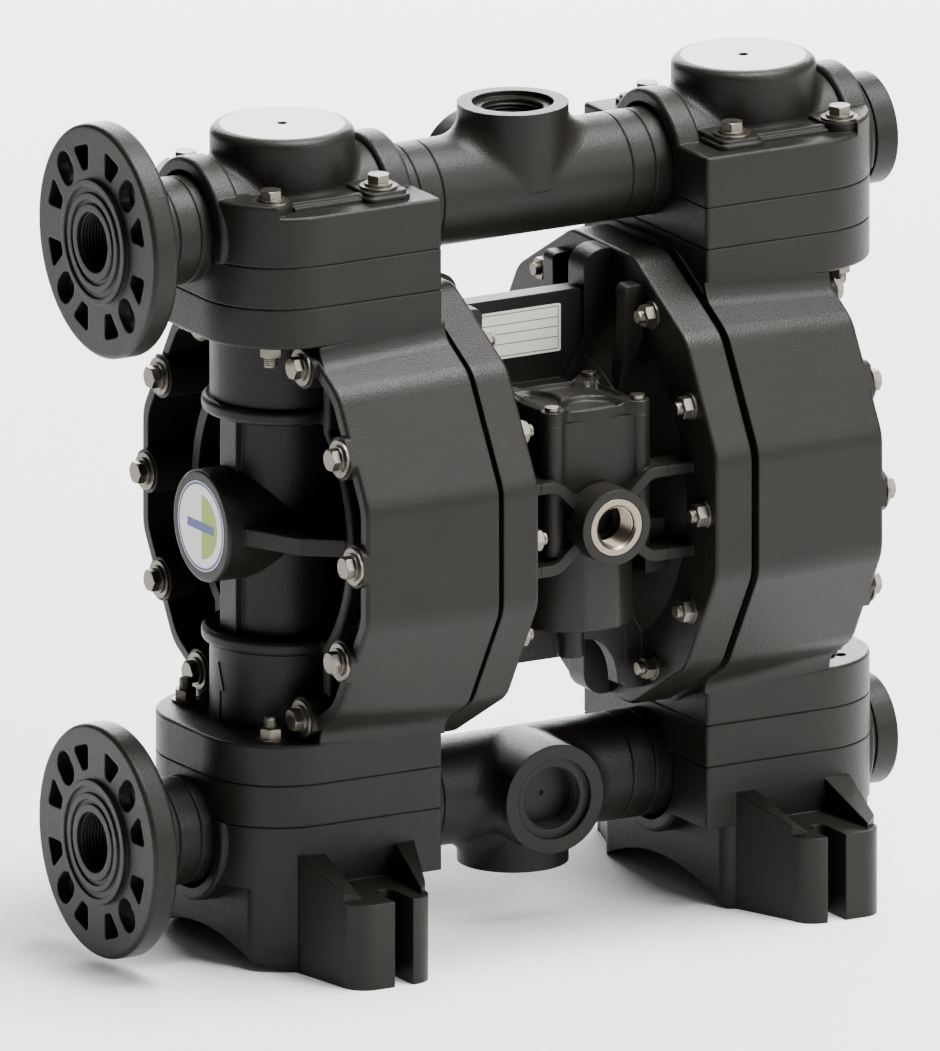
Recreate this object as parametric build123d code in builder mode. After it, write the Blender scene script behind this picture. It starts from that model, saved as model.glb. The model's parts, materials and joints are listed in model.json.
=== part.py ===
from build123d import *
import os
from math import cos, radians, sin, sqrt, tan

"""Air operated double diaphragm pump, in millimetres.

The shaft runs along X, the air inlet faces the front (-Y) and the pump stands on the plane z = 0.
Left is -X, the end with the two pipe flanges. Each valve stack is centred on stack_x.
Heights called rise are measured from the shaft centre. Most pieces are drawn for the right side
or for the top, and their partners are mirrored from them.
"""

os.makedirs("parts", exist_ok=True)

# Main layout
shaft_height = 276.7
stack_x = 167.0
manifold_rise = 195.6

# Clearances
slip = 0.3
running_gap = 0.05
seat_gap = 0.1
overlap = 2.0

# Diaphragm, clamped between the casing and the air cover
rim_thickness = 4.5
rim_mid_x = 91.95
rim_radius = 127.0
chamber_radius = 104.0
fold_radius = 11.0
fold_mid_radius = 86.0

# Twelve-sided outline that the casing skirt and the air cover share
sides = 12
skirt_apothem = 148.0
skirt_fall = 4.5
skirt_wall = 8.0
facet_corner = 26.0
air_cover_apothem = 146.5

# Casing: skirt, ring wall, hub, column and webs
skirt_end_x = 187.0
skirt_floor_x = 112.0
ring_end_x = 174.5
ring_radius = 94.0
ring_wall = 8.0
side_wall_y = 64.0
hub_radius = 36.0
hub_end_x = 225.7
hub_edge = 2.0
web_shoulder_x = 215.0
web_slope_x = 197.0
web_slope_y = 75.0
chamber_shoulder_x = 104.0
outlet_bore_radius = 22.0
column_radius = 36.1
collar_radius = 50.9
collar_low = 70.0
collar_high = 80.0
collar_edge = 3.5
valve_barrel_radius = 45.7
column_rib_width = 20.0
column_rib_proud = 3.0
web_thickness = 11.0
web_root_y = 30.0
web_shoulder_y = 37.0
boss_radius = 14.0
boss_end_x = 190.0
skirt_edge = 2.5
block_cove = 15.0
ring_edge = 2.5
spoke_length = 50.0
port_half_width = 20.0
port_low = 62.0
port_high = 92.0
port_wall = 8.0
dish_wall = 10.0
dish_face_x = 128.0
dish_face_radius = 66.0
spoke_width = 7.0

# Casing screws
bolt_circle = 132.3
screw = 8.0
screw_hole = 8.6
screw_head_height = 7.0
screw_flange = 17.8
screw_flange_height = 1.6
screw_head_flats = 13.0
nut_height = 8.0
washer_diameter = 24.0
washer_thickness = 1.6
screw_overhang = 3.8

# Valve stack: layers, outline and tie bolts
block_low = 129.0
seat_plane = 155.2
elbow_plane = 182.3
ledge_rise = 215.0
raised_rise = 222.6
raised_from_x = 209.0
stack_inner_x = 95.7
stack_outer_x = 237.0
stack_half_width = 79.0
stack_corner = 56.0
small_corner = 2.5
stack_bolt_dx = 39.0
stack_bolt_y = 54.0
pad_rise = 220.9
pad_radius = 14.0
pad_inner_y = 25.0
nut_pocket_depth = 8.5
nut_pocket_radius = 9.4
block_edge = 2.0
joint_edge = 0.7
pad_rib_half_width = 4.0
pad_rib_rise = 218.6

# Top clamp: saddle, arches and dome
saddle_radius = 42.0
arch_radius = 46.0
arch_width = 18.0
tunnel_radius = 37.7
dome_radius = 45.8
dome_top_rise = 254.9
dome_wall = 7.4
dome_roof = 12.0
dome_edge = 6.0
clamp_edge = 2.5
arch_edge = 3.0

# Ball valves
ball_radius = 25.0
ball_lift = 14.0
seat_radius = 38.0
seat_thickness = 14.0
seat_bore_radius = 18.5
seat_edge_radius = 20.5
seat_edge_depth = 3.0
seat_cone_depth = 6.0
cage_bore_radius = 31.0
cage_rib_width = 7.0
cage_rib_gap = 0.6
cage_rib_root = 2.5
stop_rib_radius = 12.0
seal_section = 3.4
seal_mid_radius = 34.0

# Manifolds
pipe_radius = 34.3
pipe_bore_radius = 25.0
stub_inner_x = 84.8
stub_outer_x = 244.2
tee_half_length = 68.5
end_ring_x = 259.7
spigot_radius = 29.0
spigot_length = 7.0
elbow_barrel_radius = 37.6
elbow_barrel_top = 234.0
elbow_barrel_roof = 8.0
plug_radius = 35.5
plug_floor = 9.0
plug_edge = 1.5

# Tee ports
port_radius = 35.3
top_port_rise = 246.8
side_port_y = 54.0
port_recess_radius = 26.0
port_recess_depth = 3.6
port_bore_radius = 20.0
blind_port_depth = 18.4
dimple_radius = 1.6
dimple_depth = 1.5

# Pipe flange, nominal size 40 with four bolts on a 110 mm circle
flange_radius = 75.0
flange_back_x = 284.0
flange_face_x = 301.4
flange_raised_x = 304.4
flange_raised_radius = 40.0
flange_bore_radius = 19.5
flange_bolt_circle = 110.0
flange_hole_radius = 9.0
flange_slot_length = 23.0
flange_slot_depth = 9.0
flange_edge = 3.0
flange_steps = ((36.0, 31.5), (27.5, 24.5))
flange_step_depth = 1.2
pocket_inner_radius = 46.0
pocket_outer_radius = 62.6
pocket_side = 10.5
pocket_inner_half = 18.0
pocket_outer_half = 30.0
pocket_corner = 2.5
pocket_depth = 10.0

# Air cover and centre housing
air_cover_face_x = 64.0
housing_face_x = 46.0
cone_foot_radius = 109.0
cone_head_radius = 80.0
cone_waist_x = 31.0
cone_waist_radius = 56.0
housing_barrel_radius = 46.0
air_cover_edge = 2.5
air_dish_floor_x = 56.0
air_dish_radius = 66.0
air_dish_shoulder_x = 80.0
centre_lug_half_width = 10.0
centre_lug_rise = 145.0
side_lug_rise = 131.0
side_lug_x = 51.3
side_lug_inner_y = 40.0
side_lug_outer_y = 52.0
side_lug_foot_rise = 62.0
lug_corner = 14.0
side_lug_corner = 5.0
centre_wedge_rise = 89.0
panel_half_thickness = 7.0
panel_top = 121.0
panel_bottom = -118.0
panel_corner = 3.0
centre_wedge_drop = 24.0

# Air valve
valve_y = -73.5
valve_half_size = 31.0
valve_post_radius = 7.5
valve_body_top = 64.5
valve_body_bottom = -20.0
valve_cover_top = 73.7
valve_scoop_radius = 22.0
valve_scoop_depth = 1.8
valve_screw_head_radius = 4.6
valve_screw_head_height = 2.6
valve_barrel_outer_radius = 38.7
valve_waist_rise = 18.0
valve_neck_half_width = 22.0
small_screw_length = 14.0
valve_barrel_bottom = -72.0
valve_nub_radius = 8.5
valve_nub_bottom = -97.0
sleeve_radius = 17.0
spool_radius = 11.0
sleeve_low = -52.0
sleeve_high = 58.0
sleeve_floor = 4.0
spool_waists = (-30.0, -4.0, 22.0)
spool_waist_radius = 7.5
spool_waist_length = 12.0
spool_length = 86.0
small_screw = 5.0

# Air inlet with its steel bush, G 3/4
inlet_radius = 24.4
inlet_face_y = -132.3
inlet_neck_radius = 20.0
inlet_head_length = 22.0
bush_radius = 18.65
bush_bore_radius = 12.06
bush_length = 20.0
inlet_passage_radius = 9.0

# Curved arms between the inlet boss and the flanges
arm_thickness = 6.8
arm_root_rise = 27.2
arm_bend_x = 33.5
arm_bend_rise = 27.0
arm_start_x = 12.0
arm_start_rise = 7.0
arm_bend_radius = 14.0
arm_front_y = -117.0
arm_depth = 22.0

# Shaft and plates
shaft_radius = 15.0
spigot_shaft_radius = 10.0
inner_plate_radius = 66.0
inner_plate_thickness = 8.0
outer_plate_radius = 64.0
outer_plate_thickness = 10.0
shaft_shoulder_x = 81.7
shaft_end_x = 101.0
plate_edge = 2.0
outer_plate_edge = 5.0
bush_wall = 3.0
bush_fit_length = 24.0
seal_width = 5.0
seal_radius = 20.0
air_port_radius = 4.0
air_port_spot = (-30.0, 26.0)

# Foot
foot_inner_x = 109.0
foot_outer_x = 224.0
foot_corner = 9.0
foot_arch_rise = 17.2
foot_arch_half_width = 76.0
wing_root_depth = 10.0
foot_hollow_rise = -243.0
foot_wall = 8.0
lug_face_y = 137.3
lug_top_rise = -221.0
lug_inner_x = 133.0
lug_outer_x = 192.0
lug_round = 15.0
wing_top_rise = -200.5
wing_inner_x = 116.5
wing_inner_width = 13.5
wing_outer_x = 199.0
wing_outer_width = 18.0
slot_x = 156.7
slot_width = 13.2
slot_end_y = 107.0

# Labels
hub_disc_radius = 29.0
label_thickness = 0.5
label_recess = 0.3
plate_half_width = 30.5
plate_low = 82.0
plate_high = 113.0
plate_corner = 1.5

# Exhaust silencer at the rear
silencer_radius = 15.0
silencer_length = 46.0
silencer_hex_flats = 27.0
silencer_hex_length = 8.0
silencer_edge = 4.0
silencer_bore_radius = 8.0
exhaust_boss_radius = 21.0
exhaust_boss_y = 76.0
exhaust_rise = -34.0
silencer_thread_radius = 12.0
silencer_thread_length = 16.0
silencer_thread_gap = 1.0
silencer_roof = 7.0

# Derived values
casing_face_x = rim_mid_x + rim_thickness / 2
air_cover_back_x = rim_mid_x - rim_thickness / 2
stack_bolts = [
    (stack_x + dx, y)
    for dx in (-stack_bolt_dx, stack_bolt_dx)
    for y in (-stack_bolt_y, stack_bolt_y)
]
valve_posts = [
    (dx, dy)
    for dx in (-valve_half_size, valve_half_size)
    for dy in (-valve_half_size, valve_half_size)
]
casing_bolt_angles = [30 * i for i in range(12) if i not in (3, 9)]
casing_bolts = [
    (bolt_circle * cos(radians(a)), bolt_circle * sin(radians(a)))
    for a in casing_bolt_angles
]
washer_face_x = boss_end_x + washer_thickness
ball_seat_height = sqrt(ball_radius**2 - seat_edge_radius**2) - seat_edge_depth
shaft_axis = Axis((0, 0, shaft_height), (1, 0, 0))
stack_axis = Axis((stack_x, 0, 0), (0, 0, 1))
foot_arch_radius = (foot_arch_half_width**2 + foot_arch_rise**2) / (2 * foot_arch_rise)


def across(x):
    """Plane square to the shaft: sketch x runs along +Y and sketch y runs up."""
    return Plane(origin=(x, 0, shaft_height), x_dir=(0, 1, 0), z_dir=(1, 0, 0))


def level(rise, x=0.0, y=0.0):
    """Horizontal plane at a rise from the shaft."""
    return Plane(origin=(x, y, shaft_height + rise), x_dir=(1, 0, 0), z_dir=(0, 0, 1))


def upright(y, x=0.0):
    """Plane that faces the front: sketch x runs along +X and sketch y runs up."""
    return Plane(origin=(x, y, shaft_height), x_dir=(1, 0, 0), z_dir=(0, -1, 0))


def rod(plane, radius, length, spots=((0, 0),), mode=Mode.ADD, taper=0.0):
    """Round bar or hole from a plane along its normal, one at each spot."""
    with BuildSketch(plane) as disc:
        with Locations(*spots):
            Circle(radius)
    extrude(disc.sketch, amount=length, mode=mode, taper=taper)


def slab(plane, outline, length, mode=Mode.ADD, taper=0.0):
    """Push a flat outline out from a plane along its normal."""
    with BuildSketch(plane) as placed:
        add(outline)
    extrude(placed.sketch, amount=length, mode=mode, taper=taper)


def block(low, high, mode=Mode.ADD):
    """Box between two corners, with heights from the shaft."""
    with Locations((low[0], low[1], low[2] + shaft_height)):
        Box(high[0] - low[0], high[1] - low[1], high[2] - low[2], align=Align.MIN, mode=mode)


def plate(plane, points, thickness, mode=Mode.ADD, corner=0.0):
    """Flat piece with a straight-sided outline, centred on its plane."""
    with BuildSketch(plane) as outline:
        with BuildLine():
            Polyline(*points, close=True)
        make_face()
        if corner:
            fillet(outline.vertices(), corner)
    extrude(outline.sketch, amount=thickness / 2, both=True, mode=mode)


def turned(plane, points, axis, mode=Mode.ADD):
    """Turned shape from a half profile."""
    with BuildSketch(plane) as profile:
        with BuildLine():
            Polyline(*points, close=True)
        make_face()
    revolve(profile.sketch, axis=axis, mode=mode)


def manifold(x, side=1):
    """Plane square to the upper or lower manifold at x."""
    return Plane(origin=(x, 0, shaft_height + side * manifold_rise), x_dir=(0, 1, 0), z_dir=(1, 0, 0))


def copied(piece, spots):
    """Copies of one piece at several places."""
    with BuildPart() as group:
        with Locations(*spots):
            add(piece)
    return group.part


def facet_outline(apothem):
    """Twelve-sided outline with a flat side at each bolt and rounded corners."""
    with BuildSketch() as outline:
        RegularPolygon(apothem, sides, major_radius=False, rotation=180 / sides)
        fillet(outline.vertices(), facet_corner)
    return outline.sketch


def skirt_form(start, end, wall=0.0, mode=Mode.ADD):
    """The skirt's outline, or its inside with a wall, which narrows away from the casing's face."""
    outlines = []
    for x in (start, end):
        narrowing = skirt_fall * (x - casing_face_x) / (skirt_end_x - casing_face_x)
        with BuildSketch(across(x)) as outline:
            add(facet_outline(skirt_apothem - wall - narrowing))
        outlines.append(outline.sketch)
    loft(outlines, ruled=True, mode=mode)


def stack_outline():
    """D-shaped outline of a valve stack, square at the middle of the pump and round at its end."""
    with BuildSketch() as outline:
        with BuildLine():
            Polyline(
                (stack_inner_x, -stack_half_width),
                (stack_outer_x, -stack_half_width),
                (stack_outer_x, stack_half_width),
                (stack_inner_x, stack_half_width),
                close=True,
            )
        make_face()
        fillet(outline.vertices().group_by(Axis.X)[-1], stack_corner)
        fillet(outline.vertices().group_by(Axis.X)[0], small_corner)
    return outline.sketch


def stack_layer(low, high):
    """One layer of a valve stack, with its edges broken where it meets its neighbours."""
    with BuildPart() as layer:
        slab(level(low), stack_outline(), high - low)
        chamfer(layer.faces().sort_by(Axis.Z)[0].edges(), joint_edge)
        chamfer(layer.faces().sort_by(Axis.Z)[-1].edges(), joint_edge)
    return layer.part


def pipe_piece(start, end, side=1):
    """A length of manifold pipe, with its edges broken where it meets its neighbours."""
    with BuildPart() as pipe:
        rod(manifold(start, side), pipe_radius, end - start)
        chamfer(pipe.edges().filter_by(GeomType.CIRCLE), joint_edge)
    return pipe.part


def ring_wall_outline(inner):
    """Outline of the ring wall: a circle with straight sides that rise to the stack blocks."""
    half = side_wall_y + (0 if inner else ring_wall)
    with BuildSketch() as outline:
        Circle(ring_radius if inner else ring_radius + ring_wall)
        Rectangle(2 * half, 2 * block_low + ring_wall)
    return outline.sketch


def partner(source, plane):
    """The mirror image of a finished piece."""
    with BuildPart() as copy:
        mirror(source, about=plane)
    return copy.part


def keep(piece, label):
    """Name a finished piece and write its file."""
    piece.label = label
    export_step(piece, "parts/" + label + ".step")


def cage_ribs(rise):
    """Four ribs that guide a ball above the seat at this rise and stop it at the top."""
    stop = ball_seat_height + seat_gap + ball_lift + sqrt(ball_radius**2 - stop_rib_radius**2) + slip
    guide = ball_radius + cage_rib_gap
    root = cage_bore_radius + cage_rib_root
    with BuildPart() as ribs:
        for angle in (60, 120, 240, 300):
            along = Vector(1, 0, 0).rotate(Axis.Z, angle)
            sideways = along.cross(Vector(0, 0, 1))
            radial = Plane(origin=(stack_x, 0, shaft_height + rise), x_dir=along, z_dir=sideways)
            plate(
                radial,
                [
                    (guide, seat_edge_depth),
                    (root, seat_edge_depth),
                    (root, stop + cage_rib_width),
                    (stop_rib_radius, stop + cage_rib_width),
                    (stop_rib_radius, stop),
                    (guide, stop),
                ],
                cage_rib_width,
            )
    return ribs.part


def hex_head(plane, flats, height):
    """Hexagon from a plane, with the corners of its far end turned off at 30 degrees."""
    with BuildPart() as head:
        with BuildSketch(plane):
            RegularPolygon(flats / 2, 6, major_radius=False)
        extrude(amount=height)
        rod(plane, flats / 2 + height / tan(radians(30)), height, mode=Mode.INTERSECT, taper=60)
    return head.part


def flange_bolt(length):
    """Hexagon bolt with a flanged head, its shank along -Z from the origin."""
    with BuildPart() as bolt:
        rod(Plane.XY, screw_flange / 2, screw_flange_height)
        add(hex_head(Plane.XY, screw_head_flats, screw_head_height))
        rod(Plane.XY, screw / 2, -length)
    return bolt.part


def flange_nut():
    """Hexagon nut with a flange, standing on the origin."""
    with BuildPart() as nut:
        rod(Plane.XY, screw_flange / 2, screw_flange_height)
        add(hex_head(Plane.XY, screw_head_flats, nut_height))
        rod(Plane.XY, screw / 2 + running_gap, nut_height, mode=Mode.SUBTRACT)
    return nut.part


def plain_washer():
    """Large flat washer, standing on the origin."""
    with BuildPart() as washer:
        rod(Plane.XY, washer_diameter / 2, washer_thickness)
        rod(Plane.XY, screw / 2 + slip / 2, washer_thickness, mode=Mode.SUBTRACT)
    return washer.part


# Right casing
# Cove between the side of a stack block and the sloping facet of the skirt, the upper right of four
facet_slope = radians(30)
cove_foot_rise = (skirt_apothem - stack_half_width * sin(facet_slope)) / cos(facet_slope)
cove_reach = block_cove * tan(facet_slope)
cove_drop = skirt_fall / cos(facet_slope)
cove_sink_y = stack_half_width - overlap
with BuildPart() as block_cove_bar:
    with BuildSketch(across(casing_face_x)) as cove_section:
        with BuildLine():
            side_point = (stack_half_width, cove_foot_rise + cove_reach)
            facet_point = (
                stack_half_width + cove_reach * cos(facet_slope),
                cove_foot_rise - cove_reach * sin(facet_slope),
            )
            RadiusArc(side_point, facet_point, -block_cove)
            Polyline(
                facet_point,
                (facet_point[0], facet_point[1] - 2 * overlap),
                (cove_sink_y, cove_foot_rise - 2 * overlap),
                (cove_sink_y, side_point[1]),
                side_point,
            )
        make_face()
    extrude(
        cove_section.sketch,
        amount=skirt_end_x - casing_face_x - skirt_edge,
        dir=Vector(skirt_end_x - casing_face_x, 0, -cove_drop),
    )

with BuildPart() as bosses:
    rod(across(skirt_floor_x), boss_radius, boss_end_x - skirt_floor_x, casing_bolts)
    skirt_form(casing_face_x, boss_end_x, mode=Mode.INTERSECT)

with BuildPart() as ring:
    slab(across(skirt_floor_x), ring_wall_outline(False), ring_end_x - skirt_floor_x)
    slab(across(skirt_floor_x), ring_wall_outline(True), ring_end_x - skirt_floor_x, mode=Mode.SUBTRACT)
    fillet(ring.faces().sort_by(Axis.X)[-1].edges(), ring_edge)

with BuildPart() as stack_block:
    slab(level(block_low), stack_outline(), seat_plane - block_low)
    fillet(stack_block.faces().sort_by(Axis.Z)[0].edges(), block_edge)
    chamfer(stack_block.faces().sort_by(Axis.Z)[-1].edges(), joint_edge)

with BuildPart() as column:
    rod(level(-block_low, stack_x), column_radius, 2 * block_low)
    for low in (collar_low, -collar_high):
        rod(level(low, stack_x), collar_radius, collar_high - collar_low)
    fillet([e for e in column.edges().filter_by(GeomType.CIRCLE) if e.radius > column_radius], collar_edge)
    for low in (collar_high, -block_low):
        rod(level(low, stack_x), valve_barrel_radius, block_low - collar_high)

with BuildPart() as hub:
    rod(across(dish_face_x), hub_radius, hub_end_x - dish_face_x)
    fillet(hub.faces().sort_by(Axis.X)[-1].edges(), hub_edge)

with BuildPart() as casing:
    skirt_form(casing_face_x, skirt_end_x)
    fillet(casing.faces().sort_by(Axis.X)[-1].edges(), skirt_edge)
    skirt_form(skirt_floor_x, skirt_end_x, skirt_wall, Mode.SUBTRACT)
    for side in (None, Plane.XZ):
        bar = partner(block_cove_bar.part, side) if side else block_cove_bar.part
        add(bar)
        add(partner(bar, level(0)))
    add(bosses.part)
    add(ring.part)
    # Spokes tie the ring wall to the side bosses
    with BuildSketch(across(skirt_floor_x)) as spokes:
        for angle in (-30, 30, 150, 210):
            middle = (ring_radius + bolt_circle) / 2
            spot = (middle * cos(radians(angle)), middle * sin(radians(angle)), 0)
            with Locations(Location(spot, (0, 0, angle))):
                Rectangle(bolt_circle - ring_radius, spoke_width)
    extrude(spokes.sketch, amount=spoke_length)
    # Dish behind the diaphragm
    turned(
        upright(0),
        (
            (casing_face_x, 0),
            (casing_face_x, chamber_radius + dish_wall),
            (skirt_floor_x, chamber_radius + dish_wall),
            (dish_face_x + dish_wall, dish_face_radius + dish_wall),
            (dish_face_x + dish_wall, 0),
        ),
        shaft_axis,
    )
    add(stack_block.part)
    add(partner(stack_block.part, level(0)))
    add(column.part)
    add(hub.part)
    # Rib down the end of the column, and a web on each side of the hub
    block(
        (stack_x, -column_rib_width / 2, -collar_low),
        (stack_x + column_radius + column_rib_proud, column_rib_width / 2, collar_low),
    )
    for side in (-1, 1):
        plate(
            level(0),
            [
                (dish_face_x, side * web_root_y),
                (web_shoulder_x, side * web_root_y),
                (web_shoulder_x, side * web_shoulder_y),
                (web_slope_x, side * web_slope_y),
                (ring_end_x, side * (ring_radius - overlap)),
                (ring_end_x, side * (ring_radius + ring_wall / 2)),
                (dish_face_x, side * (ring_radius + ring_wall / 2)),
            ],
            web_thickness,
        )
    # Shelves between the collars and the ring wall
    for low in (collar_low, -collar_high):
        block(
            (dish_face_x, -side_wall_y - overlap, low),
            (stack_x, side_wall_y + overlap, low + collar_high - collar_low),
        )
    # Walls round the ports between the chamber and the valve barrels
    for low, high in ((port_low, port_high), (-port_high, -port_low)):
        block(
            (skirt_floor_x, -port_half_width - port_wall, low - port_wall),
            (stack_x, port_half_width + port_wall, high + port_wall),
        )
    # Chamber, ports and valve bores
    turned(
        upright(0),
        (
            (0, 0),
            (0, chamber_radius),
            (chamber_shoulder_x, chamber_radius),
            (dish_face_x, dish_face_radius),
            (dish_face_x, 0),
        ),
        shaft_axis,
        mode=Mode.SUBTRACT,
    )
    for low, high in ((port_low, port_high), (-port_high, -port_low)):
        block(
            (chamber_shoulder_x, -port_half_width, low),
            (stack_x, port_half_width, high),
            mode=Mode.SUBTRACT,
        )
    rod(level(-seat_plane, stack_x), cage_bore_radius, seat_plane - port_low, mode=Mode.SUBTRACT)
    rod(level(port_low, stack_x), outlet_bore_radius, seat_plane - port_low, mode=Mode.SUBTRACT)
    rod(level(seat_plane - seat_thickness, stack_x), seat_radius, seat_thickness, mode=Mode.SUBTRACT)
    add(cage_ribs(-seat_plane))
    # Holes for the casing screws and the stack bolts
    rod(across(0), screw_hole / 2, boss_end_x, casing_bolts, mode=Mode.SUBTRACT)
    for low in (block_low, -seat_plane):
        rod(level(low), screw_hole / 2, seat_plane - block_low, stack_bolts, mode=Mode.SUBTRACT)
    for rise in (block_low, -block_low - nut_pocket_depth):
        rod(level(rise), nut_pocket_radius, nut_pocket_depth, stack_bolts[:2], mode=Mode.SUBTRACT)
    rod(across(hub_end_x - label_recess), hub_disc_radius + slip, label_recess, mode=Mode.SUBTRACT)

keep(casing.part, "right_casing")
keep(partner(casing.part, Plane.YZ), "left_casing")

# Valve seat, at the middle of the pump's right stack, with its top at the seat plane
with BuildPart() as seat:
    turned(
        upright(0, stack_x),
        (
            (seat_bore_radius, -seat_thickness),
            (seat_radius - running_gap, -seat_thickness),
            (seat_radius - running_gap, 0),
            (seat_edge_radius + seat_edge_depth, 0),
            (seat_edge_radius, -seat_edge_depth),
            (seat_bore_radius, -seat_cone_depth),
        ),
        stack_axis,
    )
    turned(
        upright(0, stack_x),
        (
            (seal_mid_radius - seal_section / 2, 0),
            (seal_mid_radius + seal_section / 2, 0),
            (seal_mid_radius + seal_section / 2, -seal_section),
            (seal_mid_radius - seal_section / 2, -seal_section),
        ),
        stack_axis,
        mode=Mode.SUBTRACT,
    )

with BuildPart() as seat_seal:
    with BuildSketch(upright(0, stack_x)) as section:
        with Locations((seal_mid_radius, -seal_section / 2)):
            Circle(seal_section / 2 - running_gap)
    revolve(section.sketch, axis=stack_axis)

with BuildPart() as ball:
    with Locations((stack_x, 0, shaft_height + ball_seat_height + seat_gap)):
        Sphere(ball_radius)

for end, turn in (("right", 0), ("left", 180)):
    for place, rise in (("inlet", -seat_plane), ("outlet", seat_plane)):
        spot = Location((0, 0, rise), (0, 0, turn))
        keep(copied(seat.part, [spot]), end + "_" + place + "_seat")
        keep(copied(ball.part, [spot]), end + "_" + place + "_ball")
seal_spots = [Location((0, 0, rise), (0, 0, turn)) for rise in (-seat_plane, seat_plane) for turn in (0, 180)]
keep(copied(seat_seal.part, seal_spots), "seat_seals")

# Discharge elbow: stack plate, ball cage barrel and manifold pipe
with BuildPart() as discharge_elbow:
    add(stack_layer(seat_plane, elbow_plane))
    rod(level(seat_plane, stack_x), elbow_barrel_radius, elbow_barrel_top - seat_plane)
    add(pipe_piece(stub_inner_x, stub_outer_x))
    rod(
        level(seat_plane, stack_x),
        cage_bore_radius,
        elbow_barrel_top - elbow_barrel_roof - seat_plane,
        mode=Mode.SUBTRACT,
    )
    rod(manifold(stub_inner_x), pipe_bore_radius, stub_outer_x - stub_inner_x, mode=Mode.SUBTRACT)
    for start in (stub_inner_x, stub_outer_x - spigot_length):
        rod(manifold(start), spigot_radius, spigot_length, mode=Mode.SUBTRACT)
    add(cage_ribs(seat_plane))
    rod(level(seat_plane), screw_hole / 2, elbow_plane - seat_plane, stack_bolts, mode=Mode.SUBTRACT)

keep(discharge_elbow.part, "right_discharge_elbow")
keep(partner(discharge_elbow.part, Plane.YZ), "left_discharge_elbow")

# Suction elbow: the same without the barrel, with the inlet seat let into its top
with BuildPart() as suction_elbow:
    add(stack_layer(-elbow_plane, -seat_plane))
    add(pipe_piece(stub_inner_x, stub_outer_x, -1))
    rod(manifold(stub_inner_x, -1), pipe_bore_radius, stub_outer_x - stub_inner_x, mode=Mode.SUBTRACT)
    for start in (stub_inner_x, stub_outer_x - spigot_length):
        rod(manifold(start, -1), spigot_radius, spigot_length, mode=Mode.SUBTRACT)
    rod(level(-seat_plane - seat_thickness, stack_x), seat_radius, seat_thickness, mode=Mode.SUBTRACT)
    rod(level(-manifold_rise, stack_x), outlet_bore_radius, manifold_rise - seat_plane, mode=Mode.SUBTRACT)
    rod(level(-elbow_plane), screw_hole / 2, elbow_plane - seat_plane, stack_bolts, mode=Mode.SUBTRACT)

keep(suction_elbow.part, "right_suction_elbow")
keep(partner(suction_elbow.part, Plane.YZ), "left_suction_elbow")

# Arches that close round the upper pipe at the two ends of a clamp
with BuildPart() as arches:
    for start in (stack_inner_x, stack_outer_x - arch_width):
        rod(manifold(start), arch_radius, arch_width)
    fillet(arches.edges().filter_by(GeomType.CIRCLE), arch_edge)

# Top clamp: ledge, raised end, saddle over the pipe, bolt pads and dome
with BuildPart() as clamp_ledge:
    slab(level(elbow_plane), stack_outline(), ledge_rise - elbow_plane)
    fillet(clamp_ledge.faces().sort_by(Axis.Z)[-1].edges(), clamp_edge)
    chamfer(clamp_ledge.faces().sort_by(Axis.Z)[0].edges(), joint_edge)

with BuildPart() as clamp_end:
    slab(level(elbow_plane), stack_outline(), raised_rise - elbow_plane)
    chamfer(clamp_end.faces().sort_by(Axis.Z)[0].edges(), joint_edge)
    block(
        (0, -2 * stack_half_width, 0),
        (raised_from_x, 2 * stack_half_width, 2 * raised_rise),
        mode=Mode.SUBTRACT,
    )
    fillet(clamp_end.faces().sort_by(Axis.Z)[-1].edges(), clamp_edge)

with BuildPart() as top_clamp:
    add(clamp_ledge.part)
    add(clamp_end.part)
    rod(manifold(stack_inner_x), saddle_radius, stack_outer_x - stack_inner_x)
    add(arches.part)
    split(bisect_by=level(elbow_plane), keep=Keep.TOP)
    rod(level(elbow_plane), pad_radius, pad_rise - elbow_plane, stack_bolts)
    for x, y in stack_bolts:
        inner_y = pad_inner_y if y > 0 else -pad_inner_y
        block(
            (x - pad_radius, min(y, inner_y), elbow_plane),
            (x + pad_radius, max(y, inner_y), pad_rise),
        )
    for side in (-1, 1):
        near = side * (stack_bolt_y - pad_radius)
        far = side * (stack_bolt_y + pad_rib_half_width)
        block(
            (stack_x - stack_bolt_dx, min(near, far), elbow_plane),
            (stack_x + stack_bolt_dx, max(near, far), pad_rib_rise),
        )
    rod(level(elbow_plane, stack_x), dome_radius, dome_top_rise - elbow_plane)
    fillet(top_clamp.faces().sort_by(Axis.Z)[-1].edges(), dome_edge)
    rod(manifold(0), tunnel_radius, 2 * stack_outer_x, mode=Mode.SUBTRACT)
    rod(
        level(elbow_plane, stack_x),
        dome_radius - dome_wall,
        dome_top_rise - dome_roof - elbow_plane,
        mode=Mode.SUBTRACT,
    )
    rod(level(elbow_plane), screw_hole / 2, pad_rise - elbow_plane, stack_bolts, mode=Mode.SUBTRACT)
    rod(level(pad_rise), washer_diameter / 2 + slip, raised_rise - pad_rise, stack_bolts, mode=Mode.SUBTRACT)
    rod(level(dome_top_rise - dimple_radius, stack_x), 2 * dimple_radius, dimple_radius, mode=Mode.SUBTRACT)

keep(top_clamp.part, "right_top_clamp")
keep(partner(top_clamp.part, Plane.YZ), "left_top_clamp")

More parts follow.
